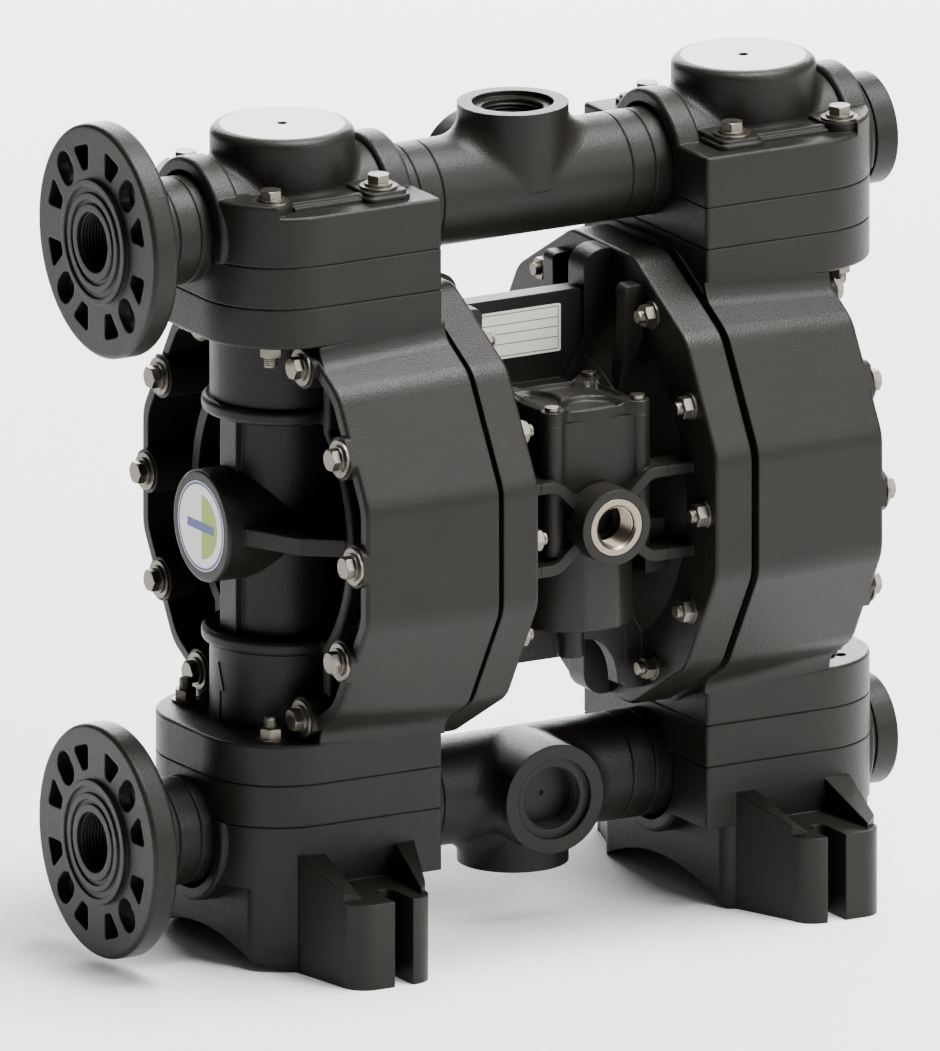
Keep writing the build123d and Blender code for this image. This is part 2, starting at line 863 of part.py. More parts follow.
# Foot: block, saddle under the pipe, arched body and two slotted lugs
with BuildPart() as foot_lug:
    with BuildSketch(level(-shaft_height)) as outline:
        with BuildLine():
            Polyline(
                (lug_inner_x, 0),
                (lug_inner_x, -lug_face_y),
                (lug_outer_x, -lug_face_y),
                (lug_outer_x, 0),
                close=True,
            )
        make_face()
        fillet(outline.vertices().group_by(Axis.Y)[0], lug_round)
    extrude(amount=shaft_height + lug_top_rise)
    # Wings from the body down to the lug's two sides
    for root, tip, width in (
        (wing_inner_x, lug_inner_x, wing_inner_width),
        (wing_outer_x, lug_outer_x, -wing_outer_width),
    ):
        with BuildSketch(level(-shaft_height)) as wing:
            with BuildLine():
                Polyline(
                    (root, -stack_half_width),
                    (root, -stack_half_width + wing_root_depth),
                    (root + width, -stack_half_width + wing_root_depth),
                    (root + width, -stack_half_width),
                    (tip + width / 2, -lug_face_y + lug_round / 2),
                    (tip, -lug_face_y + lug_round),
                    close=True,
                )
            make_face()
        extrude(wing.sketch, amount=shaft_height + wing_top_rise)
    plate(
        Plane(origin=(stack_x, 0, shaft_height), x_dir=(0, -1, 0), z_dir=(-1, 0, 0)),
        [
            (stack_half_width, wing_top_rise),
            (lug_face_y + overlap, lug_top_rise),
            (lug_face_y + overlap, 0),
            (stack_half_width, 0),
        ],
        2 * stack_half_width,
        mode=Mode.SUBTRACT,
    )
    with BuildSketch(level(-shaft_height)) as slot:
        with Locations((slot_x, -slot_end_y - slot_width / 2)):
            Circle(slot_width / 2)
        with Locations((slot_x, -lug_face_y)):
            Rectangle(slot_width, 2 * (lug_face_y - slot_end_y - slot_width / 2))
    extrude(slot.sketch, amount=shaft_height, mode=Mode.SUBTRACT)

with BuildPart() as foot:
    slab(level(-raised_rise), stack_outline(), raised_rise - elbow_plane)
    chamfer(foot.faces().sort_by(Axis.Z)[-1].edges(), joint_edge)
    add(partner(arches.part, level(0)))
    split(bisect_by=level(-elbow_plane), keep=Keep.BOTTOM)
    with BuildSketch(level(-shaft_height)) as base:
        add(stack_outline())
        with Locations(((foot_inner_x + foot_outer_x) / 2, 0)):
            Rectangle(foot_outer_x - foot_inner_x, 3 * stack_half_width, mode=Mode.INTERSECT)
        fillet(base.vertices().group_by(Axis.X)[0], foot_corner)
        fillet(base.vertices().group_by(Axis.X)[-1], foot_corner)
    extrude(base.sketch, amount=shaft_height - raised_rise + overlap)
    add(foot_lug.part)
    add(partner(foot_lug.part, Plane.XZ))
    rod(
        Plane(origin=(0, 0, foot_arch_rise - foot_arch_radius), x_dir=(0, 1, 0), z_dir=(1, 0, 0)),
        foot_arch_radius,
        2 * stack_x,
        mode=Mode.SUBTRACT,
    )
    rod(manifold(0, -1), tunnel_radius, 2 * stack_outer_x, mode=Mode.SUBTRACT)
    with BuildSketch(level(-shaft_height)) as hollow:
        add(base.sketch_local)
        offset(amount=-foot_wall)
    extrude(hollow.sketch, amount=shaft_height + foot_hollow_rise, mode=Mode.SUBTRACT)
    rod(level(-shaft_height), screw_hole / 2, shaft_height, stack_bolts, mode=Mode.SUBTRACT)
    rod(
        level(-shaft_height),
        washer_diameter / 2 + slip,
        shaft_height - pad_rise,
        stack_bolts,
        mode=Mode.SUBTRACT,
    )

keep(foot.part, "right_foot")
keep(partner(foot.part, Plane.YZ), "left_foot")

# Manifold tees with their blind threaded ports
with BuildPart() as discharge_tee:
    add(pipe_piece(-tee_half_length, tee_half_length))
    rod(level(manifold_rise), port_radius, top_port_rise - manifold_rise)
    rod(upright(0), port_radius, -side_port_y, [(0, manifold_rise)])
    for face, spot, inward in (
        (level(top_port_rise), (0, 0), -1),
        (upright(side_port_y), (0, manifold_rise), 1),
    ):
        rod(face, port_recess_radius, inward * port_recess_depth, [spot], mode=Mode.SUBTRACT)
        rod(face, port_bore_radius, inward * blind_port_depth, [spot], mode=Mode.SUBTRACT)
        rod(face, dimple_radius, inward * (blind_port_depth + dimple_depth), [spot], mode=Mode.SUBTRACT)
    rod(manifold(-tee_half_length), pipe_bore_radius, 2 * tee_half_length, mode=Mode.SUBTRACT)
    for start in (-tee_half_length, tee_half_length - spigot_length):
        rod(manifold(start), spigot_radius, spigot_length, mode=Mode.SUBTRACT)

half_turn = Location((0, 0, 2 * shaft_height), (180, 0, 0))
keep(discharge_tee.part, "discharge_tee")
keep(copied(discharge_tee.part, [half_turn]), "suction_tee")

# Coupling rings, with a spigot at each end
with BuildPart() as upper_rings:
    for low, high in ((tee_half_length, stub_inner_x), (stub_outer_x, end_ring_x)):
        add(pipe_piece(low, high))
        rod(
            manifold(low - spigot_length + slip),
            spigot_radius - running_gap,
            high - low + 2 * (spigot_length - slip),
        )
        rod(
            manifold(low - spigot_length),
            pipe_bore_radius,
            high - low + 2 * spigot_length,
            mode=Mode.SUBTRACT,
        )

inner_ring = upper_rings.part.solids().sort_by(Axis.X)[0]
with BuildPart() as coupling_rings:
    add(inner_ring)
    mirror(upper_rings.part, about=Plane.YZ)
    mirror(about=level(0))
keep(coupling_rings.part, "coupling_rings")

# Pipe flange, drawn at the right and mirrored to the left end
with BuildPart() as flange:
    rod(manifold(flange_back_x), flange_radius, flange_face_x - flange_back_x)
    fillet(flange.edges().filter_by(GeomType.CIRCLE), flange_edge)
    add(pipe_piece(end_ring_x, flange_back_x + overlap))
    rod(manifold(flange_face_x), flange_raised_radius, flange_raised_x - flange_face_x)
    rod(manifold(end_ring_x), flange_bore_radius, flange_raised_x - end_ring_x, mode=Mode.SUBTRACT)
    rod(manifold(end_ring_x), spigot_radius, spigot_length, mode=Mode.SUBTRACT)
    for outer, inner in flange_steps:
        with BuildSketch(manifold(flange_raised_x)) as step:
            Circle(outer)
            Circle(inner, mode=Mode.SUBTRACT)
        extrude(step.sketch, amount=-flange_step_depth, mode=Mode.SUBTRACT)
    with BuildSketch(manifold(flange_face_x)) as slots:
        with PolarLocations(flange_bolt_circle / 2, 4, start_angle=45):
            SlotOverall(flange_slot_length, 2 * flange_hole_radius)
    extrude(slots.sketch, amount=-flange_slot_depth, mode=Mode.SUBTRACT)
    with BuildSketch(manifold(flange_back_x)) as bolt_holes:
        with PolarLocations(flange_bolt_circle / 2, 4, start_angle=45):
            Circle(flange_hole_radius)
    extrude(bolt_holes.sketch, amount=flange_face_x - flange_back_x, mode=Mode.SUBTRACT)
    with BuildSketch() as pocket:
        with BuildLine():
            Polyline(
                (sqrt(pocket_inner_radius**2 - pocket_side**2), pocket_side),
                (sqrt(pocket_outer_radius**2 - pocket_side**2), pocket_side),
                (sqrt(pocket_outer_radius**2 - pocket_outer_half**2), pocket_outer_half),
                (sqrt(pocket_inner_radius**2 - pocket_inner_half**2), pocket_inner_half),
                close=True,
            )
        make_face()
        fillet(pocket.vertices(), pocket_corner)
        mirror(about=Plane.XZ)
    with BuildSketch(manifold(flange_face_x)) as pockets:
        with PolarLocations(0, 4):
            add(pocket.sketch)
    extrude(pockets.sketch, amount=-pocket_depth, mode=Mode.SUBTRACT)

keep(partner(flange.part, Plane.YZ), "discharge_flange")
keep(copied(partner(flange.part, Plane.YZ), [half_turn]), "suction_flange")

# End plug that closes the right end of each manifold
with BuildPart() as end_plug:
    rod(manifold(stub_outer_x), plug_radius, end_ring_x - stub_outer_x)
    fillet(end_plug.faces().sort_by(Axis.X)[-1].edges(), plug_edge)
    rod(manifold(stub_outer_x - spigot_length + slip), spigot_radius - running_gap, spigot_length)
    rod(
        manifold(stub_outer_x - spigot_length),
        pipe_bore_radius,
        end_ring_x - stub_outer_x + spigot_length - plug_floor,
        mode=Mode.SUBTRACT,
    )

keep(end_plug.part, "discharge_end_plug")
keep(partner(end_plug.part, level(0)), "suction_end_plug")


# Curved arm from the inlet boss to the flange, the upper right of four
with BuildPart() as arm:
    with BuildSketch(upright(arm_front_y)) as band:
        with BuildLine() as route:
            FilletPolyline(
                (arm_start_x, arm_start_rise),
                (arm_bend_x, arm_bend_rise),
                (air_cover_face_x + overlap, arm_root_rise),
                radius=arm_bend_radius,
            )
        trace(route.line, arm_thickness)
    extrude(band.sketch, amount=-arm_depth)

# Lugs on the back of the air cover: one in the middle and one at each side, above the shaft
with BuildPart() as lugs:
    with BuildSketch(upright(-centre_lug_half_width)) as centre_lug:
        with BuildLine():
            Polyline(
                (air_cover_face_x + overlap, 0),
                (air_cover_face_x + overlap, centre_lug_rise),
                (housing_face_x, centre_lug_rise),
                (housing_face_x, 0),
                close=True,
            )
        make_face()
        fillet(centre_lug.vertices().group_by(Axis.Y)[-1].sort_by(Axis.X)[0], lug_corner)
    extrude(centre_lug.sketch, amount=-2 * centre_lug_half_width)
    for front in (-side_lug_outer_y, side_lug_inner_y):
        with BuildSketch(upright(front)) as side_lug:
            with BuildLine():
                Polyline(
                    (housing_face_x, side_lug_foot_rise),
                    (housing_face_x, 0),
                    (air_cover_face_x + overlap, 0),
                    (air_cover_face_x + overlap, side_lug_rise),
                    (side_lug_x, side_lug_rise),
                )
                ThreePointArc(
                    (side_lug_x, side_lug_rise),
                    (
                        housing_face_x + (side_lug_x - housing_face_x) * cos(radians(45)),
                        side_lug_rise - (side_lug_rise - side_lug_foot_rise) * sin(radians(45)),
                    ),
                    (housing_face_x, side_lug_foot_rise),
                )
            make_face()
            fillet(side_lug.vertices().group_by(Axis.Y)[-1].sort_by(Axis.X)[0], side_lug_corner)
        extrude(side_lug.sketch, amount=side_lug_inner_y - side_lug_outer_y)

# Right air cover
with BuildPart() as air_cover:
    slab(across(air_cover_face_x), facet_outline(air_cover_apothem), air_cover_back_x - air_cover_face_x)
    fillet(air_cover.faces().sort_by(Axis.X)[0].edges(), air_cover_edge)
    turned(
        upright(0),
        (
            (housing_face_x, 0),
            (housing_face_x, cone_head_radius),
            (air_cover_face_x, cone_foot_radius),
            (air_cover_face_x + overlap, cone_foot_radius),
            (air_cover_face_x + overlap, 0),
        ),
        shaft_axis,
    )
    add(lugs.part)
    add(partner(lugs.part, level(0)))
    add(split(arm.part, bisect_by=across(housing_face_x), keep=Keep.TOP, mode=Mode.PRIVATE))
    add(
        split(
            partner(arm.part, level(0)),
            bisect_by=across(housing_face_x),
            keep=Keep.TOP,
            mode=Mode.PRIVATE,
        )
    )
    turned(
        upright(0),
        (
            (air_cover_back_x + overlap, 0),
            (air_cover_back_x + overlap, chamber_radius),
            (air_dish_shoulder_x, chamber_radius - overlap),
            (air_dish_floor_x, air_dish_radius),
            (air_dish_floor_x, 0),
        ),
        shaft_axis,
        mode=Mode.SUBTRACT,
    )
    rod(across(0), shaft_radius + slip, air_cover_back_x, mode=Mode.SUBTRACT)
    rod(across(housing_face_x), seal_radius, seal_width, mode=Mode.SUBTRACT)
    rod(across(0), air_port_radius, air_cover_back_x, [air_port_spot], mode=Mode.SUBTRACT)
    rod(across(0), screw_hole / 2, air_cover_back_x, casing_bolts, mode=Mode.SUBTRACT)

keep(air_cover.part, "right_air_cover")
keep(partner(air_cover.part, Plane.YZ), "left_air_cover")

# Centre housing with the air valve body, rating panel and inlet boss
with BuildPart() as housing:
    turned(
        upright(0),
        (
            (-housing_face_x, 0),
            (-housing_face_x, cone_head_radius),
            (-cone_waist_x, cone_waist_radius),
            (-cone_waist_x, housing_barrel_radius),
            (cone_waist_x, housing_barrel_radius),
            (cone_waist_x, cone_waist_radius),
            (housing_face_x, cone_head_radius),
            (housing_face_x, 0),
        ),
        shaft_axis,
    )
    with BuildSketch(upright(-panel_half_thickness)) as panel:
        with BuildLine():
            Polyline(
                (-housing_face_x, panel_bottom),
                (housing_face_x, panel_bottom),
                (housing_face_x, panel_top),
                (-housing_face_x, panel_top),
                close=True,
            )
        make_face()
        fillet(panel.vertices(), panel_corner)
    extrude(panel.sketch, amount=-2 * panel_half_thickness)
    for side in (-1, 1):
        for up in (-1, 1):
            plate(
                upright(0),
                [
                    (side * housing_face_x, up * centre_wedge_rise),
                    (side * cone_waist_x, up * (centre_wedge_rise - centre_wedge_drop)),
                    (side * cone_waist_x, 0),
                    (side * housing_face_x, 0),
                ],
                2 * centre_lug_half_width,
            )
    # Valve body: square with round corner posts above, a barrel and a drain nub below
    block(
        (-valve_half_size, valve_y - valve_half_size, valve_body_bottom),
        (valve_half_size, 0, valve_body_top),
    )
    rod(
        level(valve_body_bottom, 0, valve_y),
        valve_post_radius,
        valve_body_top - valve_body_bottom,
        valve_posts,
    )
    rod(
        level(valve_barrel_bottom, 0, valve_y),
        valve_barrel_outer_radius,
        valve_waist_rise - valve_barrel_bottom,
    )
    block(
        (-valve_neck_half_width, valve_y, valve_barrel_bottom),
        (valve_neck_half_width, 0, valve_body_bottom),
    )
    rod(level(valve_nub_bottom, 0, valve_y), valve_nub_radius, valve_body_bottom - valve_nub_bottom)
    # Inlet boss and its arms
    rod(upright(valve_y), inlet_neck_radius, valve_y - inlet_face_y)
    rod(upright(inlet_face_y + inlet_head_length), inlet_radius, inlet_head_length)
    for up in (arm.part, partner(arm.part, level(0))):
        right_arm = split(up, bisect_by=across(housing_face_x), keep=Keep.BOTTOM, mode=Mode.PRIVATE)
        add(right_arm)
        add(partner(right_arm, Plane.YZ))
    # Exhaust boss at the back
    rod(upright(0), exhaust_boss_radius, -exhaust_boss_y, [(0, exhaust_rise)])
    # Shaft bore and bush seats
    rod(across(-housing_face_x), shaft_radius + slip, 2 * housing_face_x, mode=Mode.SUBTRACT)
    for start in (-housing_face_x, housing_face_x - bush_fit_length):
        rod(across(start), shaft_radius + bush_wall, bush_fit_length, mode=Mode.SUBTRACT)
    # Air passages
    rod(
        level(sleeve_low, 0, valve_y),
        sleeve_radius,
        valve_body_top - sleeve_low,
        mode=Mode.SUBTRACT,
    )
    rod(upright(inlet_face_y + bush_length), bush_radius, bush_length, mode=Mode.SUBTRACT)
    rod(upright(valve_y), inlet_passage_radius, valve_y - inlet_face_y, mode=Mode.SUBTRACT)
    for side in (-1, 1):
        rod(across(0), air_port_radius, side * housing_face_x, [air_port_spot], mode=Mode.SUBTRACT)
    rod(
        upright(valve_y),
        air_port_radius,
        valve_y - air_port_spot[0],
        [(0, air_port_spot[1])],
        mode=Mode.SUBTRACT,
    )
    rod(
        upright(valve_y),
        inlet_passage_radius,
        valve_y - exhaust_boss_y,
        [(0, exhaust_rise)],
        mode=Mode.SUBTRACT,
    )
    rod(
        upright(exhaust_boss_y),
        silencer_thread_radius,
        silencer_thread_length,
        [(0, exhaust_rise)],
        mode=Mode.SUBTRACT,
    )
    rod(
        level(valve_body_top - small_screw_length, 0, valve_y),
        small_screw / 2,
        small_screw_length,
        valve_posts,
        mode=Mode.SUBTRACT,
    )

keep(housing.part, "centre_housing")

# Valve cover: lobed at its corner posts, with a shallow scoop at each side
with BuildPart() as valve_cover:
    block(
        (-valve_half_size, valve_y - valve_half_size, valve_body_top),
        (valve_half_size, valve_y + valve_half_size, valve_cover_top),
    )
    rod(level(valve_body_top, 0, valve_y), valve_post_radius, valve_cover_top - valve_body_top, valve_posts)
    rod(
        level(valve_cover_top, 0, valve_y),
        valve_scoop_radius,
        -valve_scoop_depth,
        [(0, -valve_half_size), (0, valve_half_size), (-valve_half_size, 0), (valve_half_size, 0)],
        mode=Mode.SUBTRACT,
    )
    rod(
        level(valve_body_top, 0, valve_y),
        small_screw / 2 + slip,
        valve_cover_top - valve_body_top,
        valve_posts,
        mode=Mode.SUBTRACT,
    )

keep(valve_cover.part, "valve_cover")

with BuildPart() as valve_cover_screws:
    rod(
        level(valve_cover_top, 0, valve_y),
        small_screw / 2,
        valve_body_top - valve_cover_top - small_screw_length,
        valve_posts,
    )
    rod(level(valve_cover_top, 0, valve_y), valve_screw_head_radius, valve_screw_head_height, valve_posts)

keep(valve_cover_screws.part, "valve_cover_screws")

# Steel bush of the air inlet
with BuildPart() as air_inlet_bush:
    rod(upright(inlet_face_y + bush_length), bush_radius, bush_length)
    rod(upright(inlet_face_y + bush_length), bush_bore_radius, bush_length, mode=Mode.SUBTRACT)

keep(air_inlet_bush.part, "air_inlet_bush")

# Valve sleeve and spool, upright behind the inlet
with BuildPart() as valve_sleeve:
    rod(level(sleeve_low, 0, valve_y), sleeve_radius - running_gap, sleeve_high - sleeve_low)
    rod(
        level(sleeve_low + sleeve_floor, 0, valve_y),
        spool_radius + running_gap,
        sleeve_high - sleeve_low - sleeve_floor,
        mode=Mode.SUBTRACT,
    )
    rod(
        upright(inlet_face_y),
        inlet_passage_radius,
        inlet_face_y - valve_y,
        mode=Mode.SUBTRACT,
    )
    rod(
        upright(valve_y),
        inlet_passage_radius,
        valve_y,
        [(0, exhaust_rise)],
        mode=Mode.SUBTRACT,
    )
    rod(upright(valve_y), air_port_radius, valve_y, [(0, air_port_spot[1])], mode=Mode.SUBTRACT)

keep(valve_sleeve.part, "valve_sleeve")

with BuildPart() as valve_spool:
    rod(level(sleeve_low + sleeve_floor + seat_gap, 0, valve_y), spool_radius, spool_length)
    for low in spool_waists:
        with BuildSketch(level(low, 0, valve_y)) as waist:
            Circle(spool_radius + slip)
            Circle(spool_waist_radius, mode=Mode.SUBTRACT)
        extrude(waist.sketch, amount=spool_waist_length, mode=Mode.SUBTRACT)

keep(valve_spool.part, "valve_spool")

# Shaft with a spigot at each end for the diaphragm plates
with BuildPart() as shaft:
    rod(across(-shaft_shoulder_x), shaft_radius, 2 * shaft_shoulder_x)
    rod(across(-shaft_end_x), spigot_shaft_radius, 2 * shaft_end_x)

keep(shaft.part, "shaft")

with BuildPart() as shaft_bushes:
    for start in (-housing_face_x, housing_face_x - bush_fit_length):
        rod(across(start), shaft_radius + bush_wall - running_gap / 2, bush_fit_length)
        rod(across(start), shaft_radius + running_gap, bush_fit_length, mode=Mode.SUBTRACT)

keep(shaft_bushes.part, "shaft_bushes")

with BuildPart() as shaft_seals:
    for start in (-housing_face_x - seal_width, housing_face_x):
        rod(across(start), seal_radius - running_gap, seal_width)
        rod(across(start), shaft_radius + running_gap, seal_width, mode=Mode.SUBTRACT)

keep(shaft_seals.part, "shaft_seals")

# Diaphragm with a rolled fold between its clamped rim and its centre
with BuildPart() as diaphragm:
    with BuildSketch(upright(0)) as section:
        with Locations((rim_mid_x, (rim_radius + spigot_shaft_radius) / 2)):
            Rectangle(rim_thickness, rim_radius - spigot_shaft_radius - slip)
        with Locations((rim_mid_x, fold_mid_radius)):
            Circle(fold_radius + rim_thickness / 2)
            Circle(fold_radius - rim_thickness / 2, mode=Mode.SUBTRACT)
        with Locations((rim_mid_x, fold_mid_radius)):
            Rectangle(
                2 * fold_radius + rim_thickness,
                2 * fold_radius + rim_thickness,
                align=(Align.MAX, Align.CENTER),
                mode=Mode.SUBTRACT,
            )
        for side in (-1, 1):
            with Locations((rim_mid_x, fold_mid_radius + side * fold_radius)):
                Rectangle(rim_thickness, rim_thickness)
    revolve(section.sketch, axis=shaft_axis)

keep(diaphragm.part, "right_diaphragm")
keep(partner(diaphragm.part, Plane.YZ), "left_diaphragm")

# Plates that clamp the middle of the diaphragm
with BuildPart() as inner_plate:
    rod(across(shaft_shoulder_x), inner_plate_radius, inner_plate_thickness)
    fillet(inner_plate.faces().sort_by(Axis.X)[0].edges(), plate_edge)
    rod(
        across(shaft_shoulder_x),
        spigot_shaft_radius + running_gap,
        inner_plate_thickness,
        mode=Mode.SUBTRACT,
    )

with BuildPart() as outer_plate:
    rod(across(casing_face_x), outer_plate_radius, outer_plate_thickness)
    fillet(outer_plate.faces().sort_by(Axis.X)[-1].edges(), outer_plate_edge)
    rod(
        across(casing_face_x),
        spigot_shaft_radius + running_gap,
        shaft_end_x - casing_face_x + slip,
        mode=Mode.SUBTRACT,
    )

for piece, label in ((inner_plate.part, "inner_plate"), (outer_plate.part, "outer_plate")):
    keep(piece, "right_" + label)
    keep(partner(piece, Plane.YZ), "left_" + label)

# Labels: a plain rating plate on the panel and a round disc on each hub
with BuildPart() as rating_plate:
    with BuildSketch(upright(-panel_half_thickness)) as plate_outline:
        with Locations((0, (plate_low + plate_high) / 2)):
            RectangleRounded(2 * plate_half_width, plate_high - plate_low, plate_corner)
    extrude(plate_outline.sketch, amount=label_thickness)

keep(rating_plate.part, "rating_plate")

with BuildPart() as hub_disc:
    rod(across(hub_end_x - label_recess), hub_disc_radius, label_thickness)

keep(hub_disc.part, "right_hub_disc")
keep(partner(hub_disc.part, Plane.YZ), "left_hub_disc")

# Exhaust silencer, screwed into the back of the housing
with BuildPart() as silencer:
    rod(
        upright(exhaust_boss_y),
        silencer_thread_radius,
        silencer_thread_length - silencer_thread_gap,
        [(0, exhaust_rise)],
    )
    with BuildSketch(upright(exhaust_boss_y)) as hexagon:
        with Locations((0, exhaust_rise)):
            RegularPolygon(silencer_hex_flats / 2, 6, major_radius=False)
    extrude(hexagon.sketch, amount=-silencer_hex_length)
    rod(upright(exhaust_boss_y), silencer_radius, -silencer_length, [(0, exhaust_rise)])
    fillet(silencer.faces().sort_by(Axis.Y)[-1].edges(), silencer_edge)
    rod(
        upright(exhaust_boss_y - silencer_thread_length),
        silencer_bore_radius,
        -(silencer_length + silencer_thread_length - silencer_roof),
        [(0, exhaust_rise)],
        mode=Mode.SUBTRACT,
    )

keep(silencer.part, "exhaust_silencer")

# Casing screws: head and washer outside, nut against the air cover
screw_bolt = flange_bolt(washer_face_x - air_cover_face_x + nut_height + screw_overhang)
outward = across(washer_face_x).location
boss_face = across(boss_end_x).location
inward = Plane(origin=(air_cover_face_x, 0, shaft_height), x_dir=(0, 1, 0), z_dir=(-1, 0, 0)).location
for piece, face, label in (
    (screw_bolt, outward, "casing_bolts"),
    (plain_washer(), boss_face, "casing_washers"),
):
    group = copied(piece, [face * Location((y, rise, 0)) for y, rise in casing_bolts])
    keep(group, "right_" + label)
    keep(partner(group, Plane.YZ), "left_" + label)
nuts = copied(flange_nut(), [inward * Location((y, -rise, 0)) for y, rise in casing_bolts])
keep(nuts, "right_casing_nuts")
keep(partner(nuts, Plane.YZ), "left_casing_nuts")

# Stack bolts: heads on the clamp pads, nuts against the casing blocks
stack_head = level(pad_rise + washer_thickness)
outer_bolts = stack_bolts[2:]
inner_bolts = stack_bolts[:2]
long_bolt = flange_bolt(pad_rise + washer_thickness - block_low + nut_height + screw_overhang)
short_bolt = flange_bolt(pad_rise + washer_thickness - block_low)
with BuildPart() as stack_set:
    add(copied(long_bolt, [stack_head.location * Location((x, y, 0)) for x, y in outer_bolts]))
    add(copied(short_bolt, [stack_head.location * Location((x, y, 0)) for x, y in inner_bolts]))
with BuildPart() as washer_set:
    add(copied(plain_washer(), [level(pad_rise).location * Location((x, y, 0)) for x, y in stack_bolts]))
down = Location((0, 0, shaft_height + block_low), (180, 0, 0))
pocket = Location((0, 0, shaft_height + block_low + nut_pocket_depth), (180, 0, 0))
with BuildPart() as nut_set:
    add(copied(flange_nut(), [down * Location((x, -y, 0)) for x, y in outer_bolts]))
    add(copied(flange_nut(), [pocket * Location((x, -y, 0)) for x, y in inner_bolts]))

for group, label in ((stack_set, "stack_bolts"), (washer_set, "stack_washers"), (nut_set, "stack_nuts")):
    with BuildPart() as upper:
        add(group.part)
        mirror(group.part, about=Plane.YZ)
    keep(upper.part, "upper_" + label)
    lower = partner(upper.part, level(0))
    # One place of the lower right stack is left without its bolt
    fitted = [
        solid for solid in lower.solids()
        if solid.center().X < stack_x or solid.center().Y > 0
    ]
    keep(Compound(children=fitted), "lower_" + label)
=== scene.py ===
"""Air operated diaphragm pump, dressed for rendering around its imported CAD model.

Everything is in metres in the CAD frame: X along the shaft, -Y to the air inlet, +Z up.
"""

import json
from math import copysign, cos, pi, radians, sin, sqrt

import bmesh
import bpy
from mathutils import Matrix, Vector


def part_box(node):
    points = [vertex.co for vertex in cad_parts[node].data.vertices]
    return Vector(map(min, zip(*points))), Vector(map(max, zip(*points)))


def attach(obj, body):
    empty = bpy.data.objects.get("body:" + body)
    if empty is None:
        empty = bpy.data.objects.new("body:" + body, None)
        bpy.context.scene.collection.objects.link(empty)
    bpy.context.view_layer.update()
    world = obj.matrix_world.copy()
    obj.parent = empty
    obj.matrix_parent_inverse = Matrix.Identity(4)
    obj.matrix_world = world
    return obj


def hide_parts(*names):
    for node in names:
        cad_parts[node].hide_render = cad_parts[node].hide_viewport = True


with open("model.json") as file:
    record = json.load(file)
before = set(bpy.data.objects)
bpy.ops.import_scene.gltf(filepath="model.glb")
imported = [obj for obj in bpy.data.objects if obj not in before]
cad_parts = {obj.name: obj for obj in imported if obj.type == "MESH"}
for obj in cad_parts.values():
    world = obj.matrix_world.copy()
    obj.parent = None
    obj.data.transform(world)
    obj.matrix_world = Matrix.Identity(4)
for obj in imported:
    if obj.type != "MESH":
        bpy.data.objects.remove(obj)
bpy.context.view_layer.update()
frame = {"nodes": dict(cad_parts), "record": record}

bl_info = {
    "name": "Air operated diaphragm pump",
    "version": (1, 0, 0),
    "blender": (4, 5, 0),
    "location": "3D View > Sidebar > Pump",
    "description": "Finishes and fine detail for a plastic air operated diaphragm pump",
    "category": "Object",
}

MM = 0.001
FULL_TURN = 2 * pi

# Places of the CAD part, in metres. Rises are above the shaft.
SHAFT_HEIGHT = 0.2767
STACK_X = 0.167
MANIFOLD_RISE = 0.1956
BARREL_RADIUS = 0.0457
VALVE_Y = -0.0735
BODY_HALF = 0.031
BODY_SPAN = (-0.019, 0.0645)
LEDGE_RISE = 0.215
PAD_RISE = 0.2209
BOLT_DX = 0.039
BOLT_Y = 0.054
BOLT_CIRCLE = 0.1323
BOLT_RADIUS = 0.004

# The photograph's view: the camera's direction, and how far right and up of the shaft's middle it looks
CAMERA_AZIMUTH = radians(-29.644)
CAMERA_ELEVATION = radians(15.196)
CAMERA_SHIFT = (-26.87 * MM, -28.82 * MM)
CAMERA_DISTANCE = 3.0

SLOTS = {part["node"]: part["material_slot"] for part in frame["record"]["subparts"]}


# Sizes and colours


class PumpFinish(bpy.types.PropertyGroup):
    plastic: bpy.props.StringProperty(
        name="Body plastic", description="sRGB hex of the moulded plastic", default="#1a1814"
    )
    plastic_dark: bpy.props.StringProperty(
        name="Body plastic, dark", description="sRGB hex of its darker flow marks", default="#11100d"
    )
    steel: bpy.props.StringProperty(
        name="Stainless steel", description="sRGB hex of the screws and nuts", default="#7c776e"
    )
    film: bpy.props.StringProperty(
        name="Rating plate", description="sRGB hex of the cream film", default="#ebe8d8"
    )
    ink: bpy.props.StringProperty(
        name="Plate ink", description="sRGB hex of the rules on the plate", default="#2a2a2a"
    )
    disc_blue: bpy.props.StringProperty(
        name="Disc blue", description="sRGB hex of the blue on the hub disc", default="#14307e"
    )
    disc_green: bpy.props.StringProperty(
        name="Disc green", description="sRGB hex of the yellow green on the hub disc", default="#86a004"
    )
    grain: bpy.props.FloatProperty(
        name="Grain", description="Grain of the moulded surface", default=1.3 * MM, unit="LENGTH"
    )
    edge: bpy.props.FloatProperty(
        name="Edge radius", description="Rounding of the moulded edges", default=1.6 * MM, unit="LENGTH"
    )


